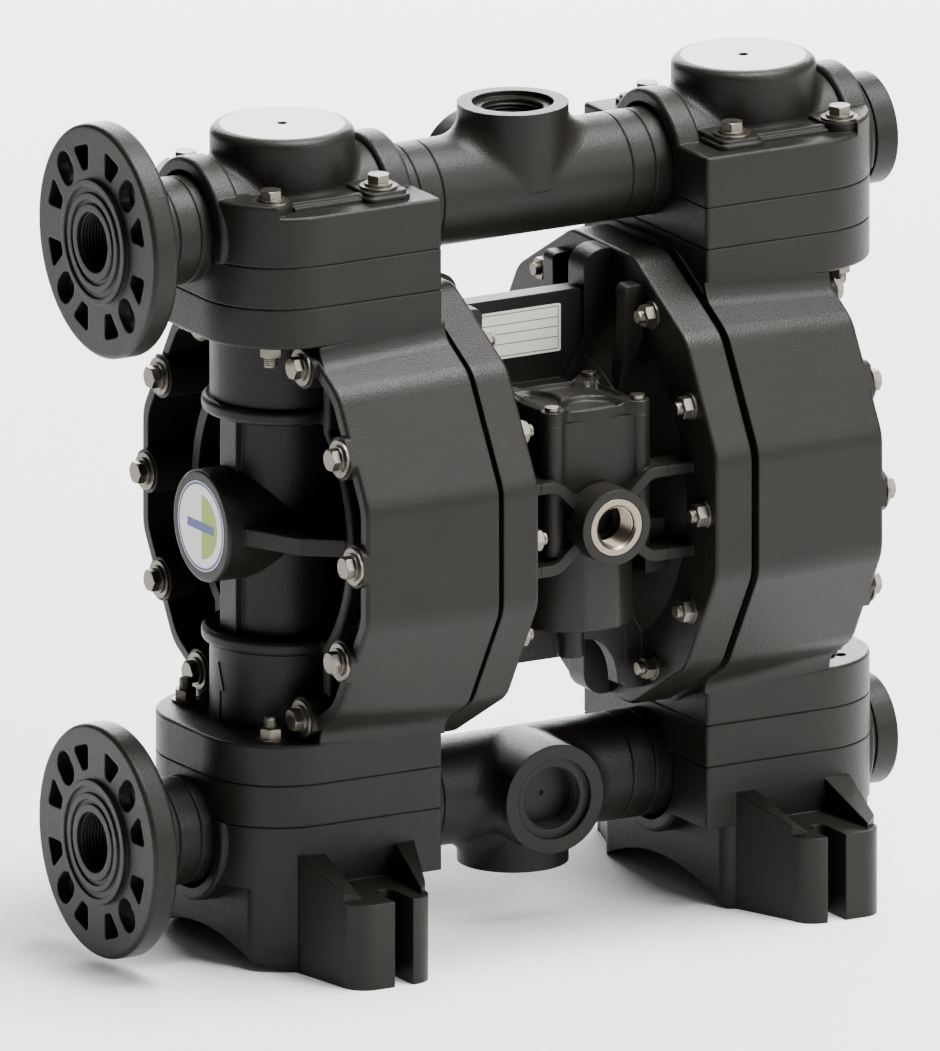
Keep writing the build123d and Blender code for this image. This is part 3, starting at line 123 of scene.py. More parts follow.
class PumpDetail(bpy.types.PropertyGroup):
    tee_cove: bpy.props.FloatProperty(
        name="Tee cove", description="Fillet where a port leaves a tee", default=16 * MM, unit="LENGTH"
    )
    dome_cove: bpy.props.FloatProperty(
        name="Dome cove", description="Fillet at the foot of a dome", default=7 * MM, unit="LENGTH"
    )
    cap_radius: bpy.props.FloatProperty(
        name="Dome cap",
        description="Radius of the smooth disc on a dome",
        default=39.6 * MM,
        unit="LENGTH",
    )
    bolt_pitch: bpy.props.FloatProperty(
        name="Screw thread", description="Pitch of the M8 screws", default=1.25 * MM, unit="LENGTH"
    )
    inlet_pitch: bpy.props.FloatProperty(
        name="Inlet thread", description="Pitch of the air inlet thread", default=1.814 * MM, unit="LENGTH"
    )
    port_pitch: bpy.props.FloatProperty(
        name="Port thread", description="Pitch of the thread in the ports", default=2.309 * MM, unit="LENGTH"
    )
    scoop_depth: bpy.props.FloatProperty(
        name="Valve cover scoops",
        description="Depth of the scoops in the valve cover",
        default=3.4 * MM,
        unit="LENGTH",
    )
    screw_end: bpy.props.FloatProperty(
        name="Screw ends",
        description="Length added to the stack screws past their nuts",
        default=3.4 * MM,
        unit="LENGTH",
    )
    rule: bpy.props.FloatProperty(
        name="Rule width",
        description="Width of the ruled lines on the plate",
        default=0.5 * MM,
        unit="LENGTH",
    )


class PumpStudio(bpy.types.PropertyGroup):
    floor: bpy.props.StringProperty(name="Floor", description="sRGB hex of the floor", default="#f8f8f7")
    room_left: bpy.props.FloatProperty(
        name="Room light, left", description="Strength of the white room on the left", default=0.06
    )
    room_right: bpy.props.FloatProperty(
        name="Room light, right", description="Strength of the white room on the right", default=0.72
    )
    key: bpy.props.FloatProperty(
        name="Key light", description="Power of the light above the front", default=56, unit="POWER"
    )
    sky: bpy.props.FloatProperty(
        name="Overhead light", description="Power of the wide light overhead", default=760, unit="POWER"
    )
    fill: bpy.props.FloatProperty(
        name="Fill light", description="Power of the light at the flanges", default=1.5, unit="POWER"
    )
    card: bpy.props.FloatProperty(
        name="Back light", description="Power of the low card behind", default=260, unit="POWER"
    )
    view_height: bpy.props.FloatProperty(
        name="View height", description="Height of the picture at the pump", default=0.6613, unit="LENGTH"
    )


def finish():
    return bpy.context.scene.pump_finish


def detail():
    return bpy.context.scene.pump_detail


def studio():
    return bpy.context.scene.pump_studio


# Materials


def linear(code):
    """Turns an sRGB hex code to a linear colour."""
    channels = [int(code[i : i + 2], 16) / 255 for i in (1, 3, 5)]
    return tuple(c / 12.92 if c <= 0.04045 else ((c + 0.055) / 1.055) ** 2.4 for c in channels) + (1.0,)


def node(tree, kind, settings=(), **links):
    """Adds a node with its settings and links.

    A link's value is a socket, or a plain value set on the input. i0, i1 and so on name an input
    by its number.
    """
    made = tree.nodes.new(kind)
    for key, value in dict(settings).items():
        setattr(made, key, value)
    for key, value in links.items():
        key = key.replace("_", " ") if key.replace("_", " ") in made.inputs else key
        target = made.inputs[int(key[1:])] if key[0] == "i" and key[1:].isdigit() else made.inputs[key]
        if isinstance(value, bpy.types.NodeSocket):
            tree.links.new(value, target)
        else:
            target.default_value = value
    return made


def new_material(name):
    """An empty material and its tree, or None for the tree when it is there already."""
    made = bpy.data.materials.get(name)
    if made:
        return made, None
    made = bpy.data.materials.new(name)
    made.use_nodes = True
    made.node_tree.nodes.clear()
    return made, made.node_tree


def shade(tree, normal=None, **inputs):
    """Closes a tree with its shader and output."""
    shader = node(tree, "ShaderNodeBsdfPrincipled", **inputs)
    if normal is not None:
        tree.links.new(normal, shader.inputs["Normal"])
    node(tree, "ShaderNodeOutputMaterial", Surface=shader.outputs[0])


def moulded_plastic(name, base, dark, roughness, bump, grain, edge, sheen=0.19):
    """Injection moulded plastic: a fine eroded grain, faint flow marks and soft edges.

    The real grain of about 0.3 mm is too fine to show, so it is drawn coarser.
    """
    made, tree = new_material(name)
    if tree is None:
        return made
    place = node(tree, "ShaderNodeTexCoord").outputs["Object"]
    flow = node(tree, "ShaderNodeTexNoise", Vector=place, Scale=1 / (35 * MM), Detail=3.0, Roughness=0.6)
    tint = node(
        tree,
        "ShaderNodeMix",
        {"data_type": "RGBA"},
        i0=flow.outputs["Fac"],
        i6=linear(dark),
        i7=linear(base),
    )
    fine = node(tree, "ShaderNodeTexNoise", Vector=place, Scale=1 / grain, Detail=2.0, Roughness=0.7)
    gloss = node(
        tree,
        "ShaderNodeMapRange",
        Value=fine.outputs["Fac"],
        From_Min=0.3,
        From_Max=0.7,
        To_Min=roughness - 0.08,
        To_Max=roughness + 0.08,
    )
    pebbled = node(tree, "ShaderNodeBump", Strength=bump, Distance=grain * 0.3, Height=fine.outputs["Fac"])
    if edge:
        rounded = node(tree, "ShaderNodeBevel", {"samples": 4}, Radius=edge)
        tree.links.new(rounded.outputs[0], pebbled.inputs["Normal"])
    shade(
        tree,
        pebbled.outputs[0],
        Base_Color=tint.outputs[2],
        Roughness=gloss.outputs[0],
        IOR=1.49,
        Specular_IOR_Level=sheen,
    )
    return made


def polypropylene(kind, roughness, bump, edge, **more):
    """Carbon filled polypropylene in the pump's colours."""
    look = finish()
    name = "polypropylene_carbon_filled_" + kind
    return moulded_plastic(name, look.plastic, look.plastic_dark, roughness, bump, look.grain, edge, **more)


def body_plastic():
    """Moulded in an eroded tool: dark, with a sandy grain that breaks up its sheen."""
    return polypropylene("moulded", 0.4, 0.8, finish().edge)


def fillet_plastic():
    """The same plastic on the added fillets, whose shape is round already."""
    return polypropylene("fillet", 0.4, 0.8, 0)


def smooth_plastic():
    """The same plastic against a polished tool face: it mirrors the pale room at a low angle."""
    return polypropylene("polished", 0.12, 0.02, 0.4 * MM, sheen=0.52)


def stainless():
    """Cold formed stainless screws: bright with soft wear, and a dull film in the scratches."""
    made, tree = new_material("stainless_steel_cold_formed")
    if tree is None:
        return made
    look = finish()
    place = node(tree, "ShaderNodeTexCoord").outputs["Object"]
    wear = node(tree, "ShaderNodeTexNoise", Vector=place, Scale=1 / (2.5 * MM), Detail=4.0, Roughness=0.65)
    tint = node(
        tree,
        "ShaderNodeMix",
        {"data_type": "RGBA"},
        i0=wear.outputs["Fac"],
        i6=linear("#5c5750"),
        i7=linear(look.steel),
    )
    gloss = node(
        tree,
        "ShaderNodeMapRange",
        Value=wear.outputs["Fac"],
        From_Min=0.3,
        From_Max=0.7,
        To_Min=0.3,
        To_Max=0.46,
    )
    rounded = node(tree, "ShaderNodeBevel", {"samples": 4}, Radius=0.5 * MM)
    scratched = node(
        tree,
        "ShaderNodeBump",
        Strength=0.15,
        Distance=0.05 * MM,
        Height=wear.outputs["Fac"],
        Normal=rounded.outputs[0],
    )
    shade(tree, scratched.outputs[0], Base_Color=tint.outputs[2], Metallic=1.0, Roughness=gloss.outputs[0])
    return made


def turned_steel():
    """Turned stainless steel: rings round the bush from the tool, drawn coarser than the real feed."""
    made, tree = new_material("stainless_steel_turned")
    if tree is None:
        return made
    place = node(tree, "ShaderNodeTexCoord").outputs["Object"]
    shaft = (0, 0, SHAFT_HEIGHT)
    centred = node(tree, "ShaderNodeVectorMath", {"operation": "SUBTRACT"}, i0=place, i1=shaft)
    rings = node(
        tree,
        "ShaderNodeTexWave",
        {"wave_type": "RINGS", "rings_direction": "Y"},
        Vector=centred.outputs[0],
        Scale=1 / (5 * MM),
        Distortion=0.6,
        Detail=2.0,
    )
    gloss = node(tree, "ShaderNodeMapRange", Value=rings.outputs["Fac"], To_Min=0.24, To_Max=0.36)
    ridges = node(tree, "ShaderNodeBump", Strength=0.1, Distance=0.05 * MM, Height=rings.outputs["Fac"])
    shade(
        tree,
        ridges.outputs[0],
        Base_Color=linear("#7b7366"),
        Metallic=1.0,
        Roughness=gloss.outputs[0],
    )
    return made


def plain_finish(name, colour, roughness, grain, bump, metallic=0.0, ior=1.5):
    """A surface with noise in its gloss and height, drawn coarser than the real grain."""
    made, tree = new_material(name)
    if tree is None:
        return made
    place = node(tree, "ShaderNodeTexCoord").outputs["Object"]
    fine = node(tree, "ShaderNodeTexNoise", Vector=place, Scale=1 / grain, Detail=3.0)
    shift = node(tree, "ShaderNodeMapRange", Value=fine.outputs["Fac"], To_Min=0.9, To_Max=1.08)
    dusty = node(tree, "ShaderNodeHueSaturation", Color=linear(colour), Value=shift.outputs[0])
    gloss = node(
        tree,
        "ShaderNodeMapRange",
        Value=fine.outputs["Fac"],
        From_Min=0.3,
        From_Max=0.7,
        To_Min=roughness - 0.05,
        To_Max=roughness + 0.05,
    )
    rough = node(tree, "ShaderNodeBump", Strength=bump, Distance=grain * 0.2, Height=fine.outputs["Fac"])
    shade(
        tree,
        rough.outputs[0],
        Base_Color=dusty.outputs[0],
        Roughness=gloss.outputs[0],
        Metallic=metallic,
        **({} if metallic else {"IOR": ior}),
    )
    return made


def printed_disc():
    """Printed polyester film on the hub: white, with a blue ring and bar and a green side."""
    made, tree = new_material("polyester_film_printed_disc")
    if tree is None:
        return made
    look = finish()
    place = node(tree, "ShaderNodeTexCoord").outputs["Object"]
    axes = node(tree, "ShaderNodeSeparateXYZ", Vector=place)

    def maths(operation, *values):
        inputs = {f"i{i}": value for i, value in enumerate(values)}
        return node(tree, "ShaderNodeMath", {"operation": operation}, **inputs).outputs[0]

    def paint(under, mask, code):
        mixed = node(tree, "ShaderNodeMix", {"data_type": "RGBA"}, i0=mask, i6=under, i7=linear(code))
        return mixed.outputs[2]

    side = axes.outputs["Y"]
    rise = maths("SUBTRACT", axes.outputs["Z"], SHAFT_HEIGHT)
    flat = node(tree, "ShaderNodeCombineXYZ", X=side, Y=rise)
    length = node(tree, "ShaderNodeVectorMath", {"operation": "LENGTH"}, i0=flat.outputs[0])
    radius = length.outputs["Value"]
    half_disc = maths("MULTIPLY", maths("LESS_THAN", side, -1 * MM), maths("LESS_THAN", radius, 21 * MM))
    bar_height = maths("LESS_THAN", maths("ABSOLUTE", rise), 3 * MM)
    bar_length = maths("LESS_THAN", maths("ABSOLUTE", side), 17 * MM)
    ring = maths("COMPARE", radius, 27.6 * MM, 0.9 * MM)
    colour = paint(linear("#d9dad8"), half_disc, look.disc_green)
    colour = paint(colour, maths("MULTIPLY", bar_height, bar_length), look.disc_blue)
    colour = paint(colour, ring, look.disc_blue)
    speck = node(tree, "ShaderNodeTexNoise", Vector=place, Scale=1 / (3 * MM), Detail=2.0)
    gloss = node(tree, "ShaderNodeMapRange", Value=speck.outputs["Fac"], To_Min=0.4, To_Max=0.5)
    shade(tree, None, Base_Color=colour, Roughness=gloss.outputs[0], IOR=1.57)
    return made


def film():
    """Printed polyester film, cream and slightly glossy."""
    return plain_finish("polyester_film_cream", finish().film, 0.35, 2 * MM, 0.05, ior=1.57)


def ink():
    """Screen printed ink, a thin matt film."""
    return plain_finish("screen_printed_ink", finish().ink, 0.6, 1 * MM, 0.1)


def slot_materials():
    """The finish of each of the record's material slots."""
    natural = "polypropylene_natural_machined"
    return {
        "body_plastic": body_plastic(),
        "steel": stainless(),
        "aluminium": plain_finish("aluminium_machined", "#b9bbbd", 0.35, 1 * MM, 0.1, metallic=1.0),
        "rubber": plain_finish("nitrile_rubber_moulded", "#1c1c1c", 0.7, 1 * MM, 0.2, ior=1.52),
        "ball_plastic": plain_finish("ptfe_turned", "#e8e6df", 0.45, 2 * MM, 0.05, ior=1.35),
        "light_plastic": plain_finish(natural, "#d6d3c6", 0.5, 1 * MM, 0.1, ior=1.49),
        "plate_label": film(),
        "hub_label": printed_disc(),
        "silencer_plastic": plain_finish("polyethylene_sintered", "#2a2a2b", 0.85, 1.2 * MM, 0.6, ior=1.51),
    }


# Meshes


def make_piece(name, vertices, faces, material, body="pump", smooth=35):
    """A mesh piece that rides on a body and takes a finish."""
    mesh = bpy.data.meshes.new(name)
    mesh.from_pydata([tuple(v) for v in vertices], [], faces)
    build = bmesh.new()
    build.from_mesh(mesh)
    bmesh.ops.remove_doubles(build, verts=build.verts, dist=1e-7)
    bmesh.ops.recalc_face_normals(build, faces=build.faces)
    build.to_mesh(mesh)
    build.free()
    mesh.materials.append(material)
    mesh.shade_smooth()
    mesh.set_sharp_from_angle(angle=radians(smooth))
    piece = bpy.data.objects.new(name, mesh)
    bpy.context.scene.collection.objects.link(piece)
    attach(piece, body)
    return piece


def merge(parts):
    """Joins lists of vertices and faces into one."""
    vertices, faces = [], []
    for some, their_faces in parts:
        shift = len(vertices)
        vertices += some
        faces += [[i + shift for i in face] for face in their_faces]
    return vertices, faces


def placed(part, matrix):
    """A copy of a part moved by a matrix."""
    vertices, faces = part
    return [matrix @ Vector(v) for v in vertices], faces


def mirrored(part, sign_x):
    """A part as it is, or mirrored left to right for a negative sign."""
    vertices, faces = part
    return [Vector((v.x * sign_x, v.y, v.z)) for v in vertices], faces


def lathe(profile, steps):
    """Turns a closed profile of (radius, height) points round +Z."""
    vertices, faces = [], []
    count = len(profile)
    for i in range(steps):
        turn = FULL_TURN * i / steps
        vertices += [Vector((r * cos(turn), r * sin(turn), h)) for r, h in profile]
        here, there = i * count, (i + 1) % steps * count
        for j in range(count):
            k = (j + 1) % count
            faces.append([here + j, there + j, there + k, here + k])
    return vertices, faces


def skin(rings):
    """Closed solid over rings of points, from the first ring to the last."""
    count = len(rings[0])
    vertices = [Vector(point) for ring in rings for point in ring]
    last = count * (len(rings) - 1)
    faces = []
    for here in range(0, last, count):
        for i in range(count):
            j = (i + 1) % count
            faces.append([here + i, here + j, here + count + j, here + count + i])
    faces.append(list(reversed(range(count))))
    faces.append([last + i for i in range(count)])
    return vertices, faces


def upright_plate(outline, near, far):
    """Plate on an outline of (x, z) points, from depth near to depth far."""
    return skin([[(x, y, z) for x, z in outline] for y in (near, far)])


def screw_thread(radius, depth, pitch, low, high, steps=48):
    """Toothed helix on a round wall, towards its axis, or away from it for a negative depth."""
    count = int(((high - low) / pitch - 1) * steps)
    rings = []
    for i in range(count + 1):
        turn = FULL_TURN * i / steps
        base = low + pitch * i / steps
        grow = min(1.0, i / (steps / 2), (count - i) / (steps / 2))
        tooth = ((radius, 0), (radius - depth * grow, 0.4), (radius - depth * grow, 0.6), (radius, 1))
        rings.append([(r * cos(turn), r * sin(turn), base + pitch * up) for r, up in tooth])
    return skin(rings)


def cove(radius, fillet, ground, steps=96, arc_steps=8):
    """The fillet between a round post on +Z and the ground round it.

    ground(x, y) gives the ground's height and its unit normal for a ball of the fillet's radius:
    the height of the ball's centre and the direction from that centre to the ground.
    """
    sunk = 0.3 * MM
    rows = []
    for i in range(steps):
        turn = FULL_TURN * i / steps
        out = Vector((cos(turn), sin(turn), 0))
        middle = out * (radius + fillet)
        found = ground(middle.x, middle.y)
        if found is None:
            rows.append(None)
            continue
        height, down = found
        centre = Vector((middle.x, middle.y, height))
        start, end = -out, down.normalized()
        angle = start.angle(end)
        row = []
        for j in range(arc_steps + 1):
            t = j / arc_steps
            if angle < 1e-4:
                direction = start
            else:
                direction = (start * sin((1 - t) * angle) + end * sin(t * angle)) / sin(angle)
            row.append(centre + direction * fillet)
        corner = out * (radius - sunk)
        row.append(Vector((corner.x, corner.y, row[-1].z - sunk)))
        rows.append(row)
    vertices, faces = [], []
    count = arc_steps + 2
    index = {}
    for i, row in enumerate(rows):
        if row:
            index[i] = len(vertices)
            vertices += row
    for i in index:
        j = (i + 1) % steps
        if j not in index:
            faces.append([index[i] + k for k in range(count)])
            continue
        if (i - 1) % steps not in index:
            faces.append([index[i] + k for k in reversed(range(count))])
        for k in range(count):
            m = (k + 1) % count
            faces.append([index[i] + k, index[j] + k, index[j] + m, index[i] + m])
    return vertices, faces


def over_pipe(pipe_radius, fillet):
    """Ground made of a pipe along X, whose axis is at height 0."""

    def ground(x, y):
        reach = (pipe_radius + fillet) ** 2 - y**2
        if reach < (2 * MM) ** 2:
            return None
        height = sqrt(reach)
        return height, Vector((0, -y, -height))

    return ground


def over_clamp(saddle_radius, ledge, fillet):
    """Ground made of a saddle along X and the flat ledge on both sides of it."""
    saddle = over_pipe(saddle_radius, fillet)

    def ground(x, y):
        found = saddle(x, y)
        flat = ledge + fillet
        if found is None or found[0] < flat:
            return flat, Vector((0, 0, -1))
        return found

    return ground


def rounded_square(half, corner, steps=6):
    """Outline of a square with rounded corners, counter-clockwise."""
    points = []
    middle = half - corner
    for quarter, (sx, sy) in enumerate(((1, 1), (-1, 1), (-1, -1), (1, -1))):
        for i in range(steps + 1):
            turn = (quarter + i / steps) * pi / 2
            points.append((sx * middle + corner * cos(turn), sy * middle + corner * sin(turn)))
    return points


def plinth(outline, low, high, edge):
    """Upright solid on an outline, with a rounded top edge."""
    reach = max(abs(x) for x, y in outline)
    levels = [(low, 1.0)]
    for i in range(4):
        turn = i / 3 * pi / 2
        levels.append((high - edge + edge * sin(turn), 1 - edge * (1 - cos(turn)) / reach))
    return skin([[(x * share, y * share, z) for x, y in outline] for z, share in levels])


def on_post(radius, proud, columns):
    """Relief on the +X side of a round post, from columns of (y, low, high)."""
    rings = []
    for y, low, high in columns:
        turn = y / radius
        section = ((radius - MM, low), (radius + proud, low), (radius + proud, high), (radius - MM, high))
        rings.append([(r * cos(turn), r * sin(turn), z) for r, z in section])
    return skin(rings)


def move(x, y, z, rotation=None):
    """A matrix that turns and then places a part."""
    return Matrix.Translation((x, y, z)) @ (rotation or Matrix.Identity(4))


FACING_FRONT = Matrix.Rotation(pi / 2, 4, "X")
FACING_BACK = Matrix.Rotation(-pi / 2, 4, "X")
FACING_LEFT = Matrix.Rotation(-pi / 2, 4, "Y")
FACING_RIGHT = Matrix.Rotation(pi / 2, 4, "Y")
UPSIDE_DOWN = Matrix.Rotation(pi, 4, "X")


# Operators


class PUMP_OT_finish_castings(bpy.types.Operator):
    """Give every CAD piece the finish of its material slot"""

    bl_idname = "pump.finish_castings"
    bl_label = "Finish the CAD pieces"

    def execute(self, context):
        looks = slot_materials()
        for name, piece in frame["nodes"].items():
            for slot in piece.material_slots:
                slot.material = looks[SLOTS[name]]
        return {"FINISHED"}


class PUMP_OT_dome_caps(bpy.types.Operator):
    """Make the smooth disc on top of each dome"""

    bl_idname = "pump.dome_caps"
    bl_label = "Dome caps"

    def execute(self, context):
        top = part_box("right_top_clamp")[1][2]
        outer = detail().cap_radius
        inner = 3.2 * MM
        lip = 0.3 * MM
        profile = [
            (inner, -lip),
            (outer, -lip),
            (outer, 0),
            (outer - lip, lip / 2),
            (outer - 2 * lip, lip / 2),
            (inner + 2 * lip, lip / 2),
            (inner + lip, lip / 2),
            (inner, 0),
        ]
        for side, x in (("left", -STACK_X), ("right", STACK_X)):
            vertices, faces = placed(lathe(profile, 96), move(x, 0, top))
            make_piece(side + "_dome_cap", vertices, faces, smooth_plastic())
        return {"FINISHED"}


class PUMP_OT_coves(bpy.types.Operator):
    """Make the fillets where the ports rise from their pipes"""

    bl_idname = "pump.coves"
    bl_label = "Coves"

    def execute(self, context):
        pipe, port, radius = 34.3 * MM, 35.3 * MM, detail().tee_cove
        for name, rise, turns in (
            ("discharge", MANIFOLD_RISE, (Matrix.Identity(4), FACING_BACK)),
            ("suction", -MANIFOLD_RISE, (UPSIDE_DOWN, FACING_FRONT)),
        ):
            part = cove(port, radius, over_pipe(pipe, radius))
            vertices, faces = merge(
                [placed(part, move(0, 0, SHAFT_HEIGHT + rise, turn)) for turn in turns]
            )
            make_piece(name + "_tee_coves", vertices, faces, fillet_plastic())
        return {"FINISHED"}


class PUMP_OT_clamp_detail(bpy.types.Operator):
    """Make the fillets at the domes' feet, and the stepped pads and ribs round them"""

    bl_idname = "pump.clamp_detail"
    bl_label = "Clamp detail"

    def execute(self, context):
        dome, saddle = 45.8 * MM, 42 * MM
        rise, radius = SHAFT_HEIGHT + MANIFOLD_RISE, detail().dome_cove
        ledge, pad = SHAFT_HEIGHT + LEDGE_RISE, SHAFT_HEIGHT + PAD_RISE
        root, sunk, seam = ledge - 2 * MM, 0.05 * MM, 2.6 * MM
        rib_half, rib_root, rib_edge, rib_ease = 26 * MM, 55 * MM, 0.9 * MM, 0.25 * MM
        # How far each rib reaches from the middle, and its top
        ribs = ((58.6 * MM, pad - 1.2 * MM), (62.4 * MM, pad - 3.4 * MM))
        foot = cove(dome, radius, over_clamp(saddle, ledge - rise, radius), steps=144)
        upper_square, lower_square = rounded_square(14.2 * MM, 5 * MM), rounded_square(16.2 * MM, 6 * MM)
        pad_edge = 1 * MM
        upper = plinth(upper_square, root, pad - sunk, pad_edge)
        lower = plinth(lower_square, root, pad - seam, pad_edge)
        for side, x in (("left", -STACK_X), ("right", STACK_X)):
            vertices, faces = placed(foot, move(x, 0, rise))
            make_piece(side + "_dome_foot", vertices, faces, fillet_plastic())
            parts = []
            inner = x - copysign(BOLT_DX, x)
            for y in (-BOLT_Y, BOLT_Y):
                parts += [placed(part, move(inner, y, 0)) for part in (upper, lower)]
                out = copysign(1, y)
                for reach, top in ribs:
                    section = [
                        (out * rib_root, root),
                        (out * reach, root),
                        (out * reach, top - rib_edge),
                        (out * (reach - rib_ease), top - rib_ease),
                        (out * (reach - rib_edge), top),
                        (out * rib_root, top),
                    ]
                    ends = (x - rib_half, x + rib_half)
                    parts.append(skin([[(end, *point) for point in section] for end in ends]))
            vertices, faces = merge(parts)
            make_piece(side + "_clamp_steps", vertices, faces, body_plastic())
        return {"FINISHED"}


class PUMP_OT_bolt_threads(bpy.types.Operator):
    """Make the ends of the screws that stand out of their nuts, with their threads"""

    bl_idname = "pump.bolt_threads"
    bl_label = "Screw ends"

    def execute(self, context):
        core, length = BOLT_RADIUS - 0.05 * MM, detail().screw_end
        chamfer, chamfer_radius = 0.5 * MM, BOLT_RADIUS - 0.6 * MM
        wall, tooth, span = BOLT_RADIUS - 0.02 * MM, 0.35 * MM, (-9 * MM, -0.4 * MM)
        thread = screw_thread(wall, -tooth, detail().bolt_pitch, *span, steps=24)
        end = [
            (0, -MM),
            (core, -MM),
            (core, length - chamfer),
            (chamfer_radius, length),
            (0, length),
        ]
        raised = merge([lathe(end, 32), placed(thread, move(0, 0, length))])
        lower_top, upper_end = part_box("lower_stack_bolts")[1][2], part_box("upper_stack_bolts")[0][2]
        parts = []
        for height, turn in ((lower_top, Matrix.Identity(4)), (upper_end, UPSIDE_DOWN)):
            for x in (-STACK_X - BOLT_DX, -STACK_X + BOLT_DX, STACK_X - BOLT_DX, STACK_X + BOLT_DX):
                for y in (-BOLT_Y, BOLT_Y):
                    # One place of the lower right stack has no screw
                    bare = height == lower_top and x == STACK_X + BOLT_DX and y == -BOLT_Y
                    if not bare:
                        parts.append(placed(raised, move(x, y, height, turn)))
        vertices, faces = merge(parts)
        make_piece("stack_screw_threads", vertices, faces, stainless())
        parts = []
        for name, turn in (("left_casing_bolts", FACING_RIGHT), ("right_casing_bolts", FACING_LEFT)):
            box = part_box(name)
            tip = box[1][0] if name.startswith("left") else box[0][0]
            for i in range(12):
                # The top and the bottom of the circle have no screw
                if i in (3, 9):
                    continue
                angle = i * pi / 6
                spot = (tip, BOLT_CIRCLE * cos(angle), SHAFT_HEIGHT + BOLT_CIRCLE * sin(angle))
                parts.append(placed(thread, move(*spot, turn)))
        vertices, faces = merge(parts)
        make_piece("casing_screw_threads", vertices, faces, stainless())
        return {"FINISHED"}


class PUMP_OT_inlet_bush(bpy.types.Operator):
    """Make the steel bush of the air inlet with its thread"""

    bl_idname = "pump.inlet_bush"
    bl_label = "Air inlet bush"

    def execute(self, context):
        low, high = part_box("air_inlet_bush")
        outer, depth, pitch = 18.65 * MM, 1.16 * MM, detail().inlet_pitch
        bore = 12.06 * MM + depth
        rim, mouth = 0.5 * MM, 1.2 * MM
        length = high[1] - low[1]
        body = [
            (bore, -length),
            (outer, -length),
            (outer, -rim),
            (outer - rim, 0),
            (bore + mouth, 0),
            (bore, -mouth),
        ]
        thread = screw_thread(bore, depth, pitch, -length + 1 * MM, -0.6 * MM, steps=64)
        vertices, faces = placed(
            merge([lathe(body, 96), thread]), move(0, low[1], SHAFT_HEIGHT, FACING_FRONT)
        )
        piece = make_piece("air_inlet_bush_threaded", vertices, faces, turned_steel())
        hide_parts("air_inlet_bush")
        return {"FINISHED"}


class PUMP_OT_valve_cover(bpy.types.Operator):
    """Make the sculpted cover of the air valve"""

    bl_idname = "pump.valve_cover"
    bl_label = "Valve cover"

    def execute(self, context):
        low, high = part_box("valve_cover")
        middle = ((low[0] + high[0]) / 2, (low[1] + high[1]) / 2)
        thick = high[2] - low[2]
        half, post, bulge, bulge_reach, blend = 31 * MM, 7.5 * MM, 3.2 * MM, 23 * MM, 7 * MM
        bowl_middle, bowl_radius, bowl_rim, bowl_end = 35 * MM, 25 * MM, 2.6 * MM, 21 * MM
        edge, lip, crown, scoop = 1.2 * MM, 2.2 * MM, 0.8 * MM, detail().scoop_depth
        crown_start, crown_end, ease = 26 * MM, 4 * MM, 4 * MM
        rim_start, rim_end, lip_start, lip_end = 0.8 * MM, 2.6 * MM, 24 * MM, 30 * MM

        def inside(x, y):
            """Distance to the cover's outline, negative inside."""
            x, y = abs(x), abs(y)
            across = x - half - bulge * max(0, 1 - (y / bulge_reach) ** 2)
            along = y - half - bulge * max(0, 1 - (x / bulge_reach) ** 2)
            sides = max(across, along)
            lobe = sqrt((x - half) ** 2 + (y - half) ** 2) - post
            mix = max(0.0, min(1.0, 0.5 + 0.5 * (lobe - sides) / blend))
            return lobe * (1 - mix) + sides * mix - blend * mix * (1 - mix)

        def step(value, start, end):
            """Rises smoothly from 0 at start to 1 at end."""
            t = max(0.0, min(1.0, (value - start) / (end - start)))
            return t * t * (3 - 2 * t)

        def top(x, y, depth):
            """Height of the top where the outline is that deep inside."""
            height = thick + crown * step(-sqrt(x * x + y * y), -crown_start, -crown_end)
            for turn in range(4):
                across = (y, x, -y, -x)[turn]
                along = (x, y, x, y)[turn]
                bowl = bowl_radius - sqrt(along**2 + (across - bowl_middle) ** 2)
                ends = bowl_end - abs(along)
                deep = step(bowl, 0, bowl_rim) * step(ends, 0, ease) * step(depth, rim_start, rim_end)
                height -= scoop * deep
                height -= lip * step(ends, -ease / 2, ease) * step(across, lip_start, lip_end)
            if depth < edge:
                height -= edge - sqrt(max(0.0, edge**2 - (edge - depth) ** 2))
            return height

        steps, rows, crowding = 192, 60, 1.35
        reach, halvings = 60 * MM, 26
        vertices, faces = [Vector((0, 0, top(0, 0, half)))], []
        for i in range(steps):
            turn = FULL_TURN * i / steps
            near, far = 0.0, reach
            for _ in range(halvings):
                trial = (near + far) / 2
                if inside(trial * cos(turn), trial * sin(turn)) < 0:
                    near = trial
                else:
                    far = trial
            for j in range(1, rows + 1):
                share = 1 - (1 - j / rows) ** crowding
                x, y = near * share * cos(turn), near * share * sin(turn)
                vertices.append(Vector((x, y, top(x, y, max(0.0, -inside(x, y))))))
            vertices.append(Vector((near * cos(turn), near * sin(turn), 0)))
        ring = rows + 1
        for i in range(steps):
            here, there = 1 + i * ring, 1 + (i + 1) % steps * ring
            faces.append([0, here, there])
            for j in range(rows):
                faces.append([here + j, here + j + 1, there + j + 1, there + j])
        faces.append([1 + i * ring + rows for i in reversed(range(steps))])
        vertices, faces = placed((vertices, faces), move(middle[0], middle[1], low[2]))
        plastic = fillet_plastic()
        piece = make_piece("valve_cover_sculpted", vertices, faces, plastic, smooth=50)
        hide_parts("valve_cover")
        return {"FINISHED"}


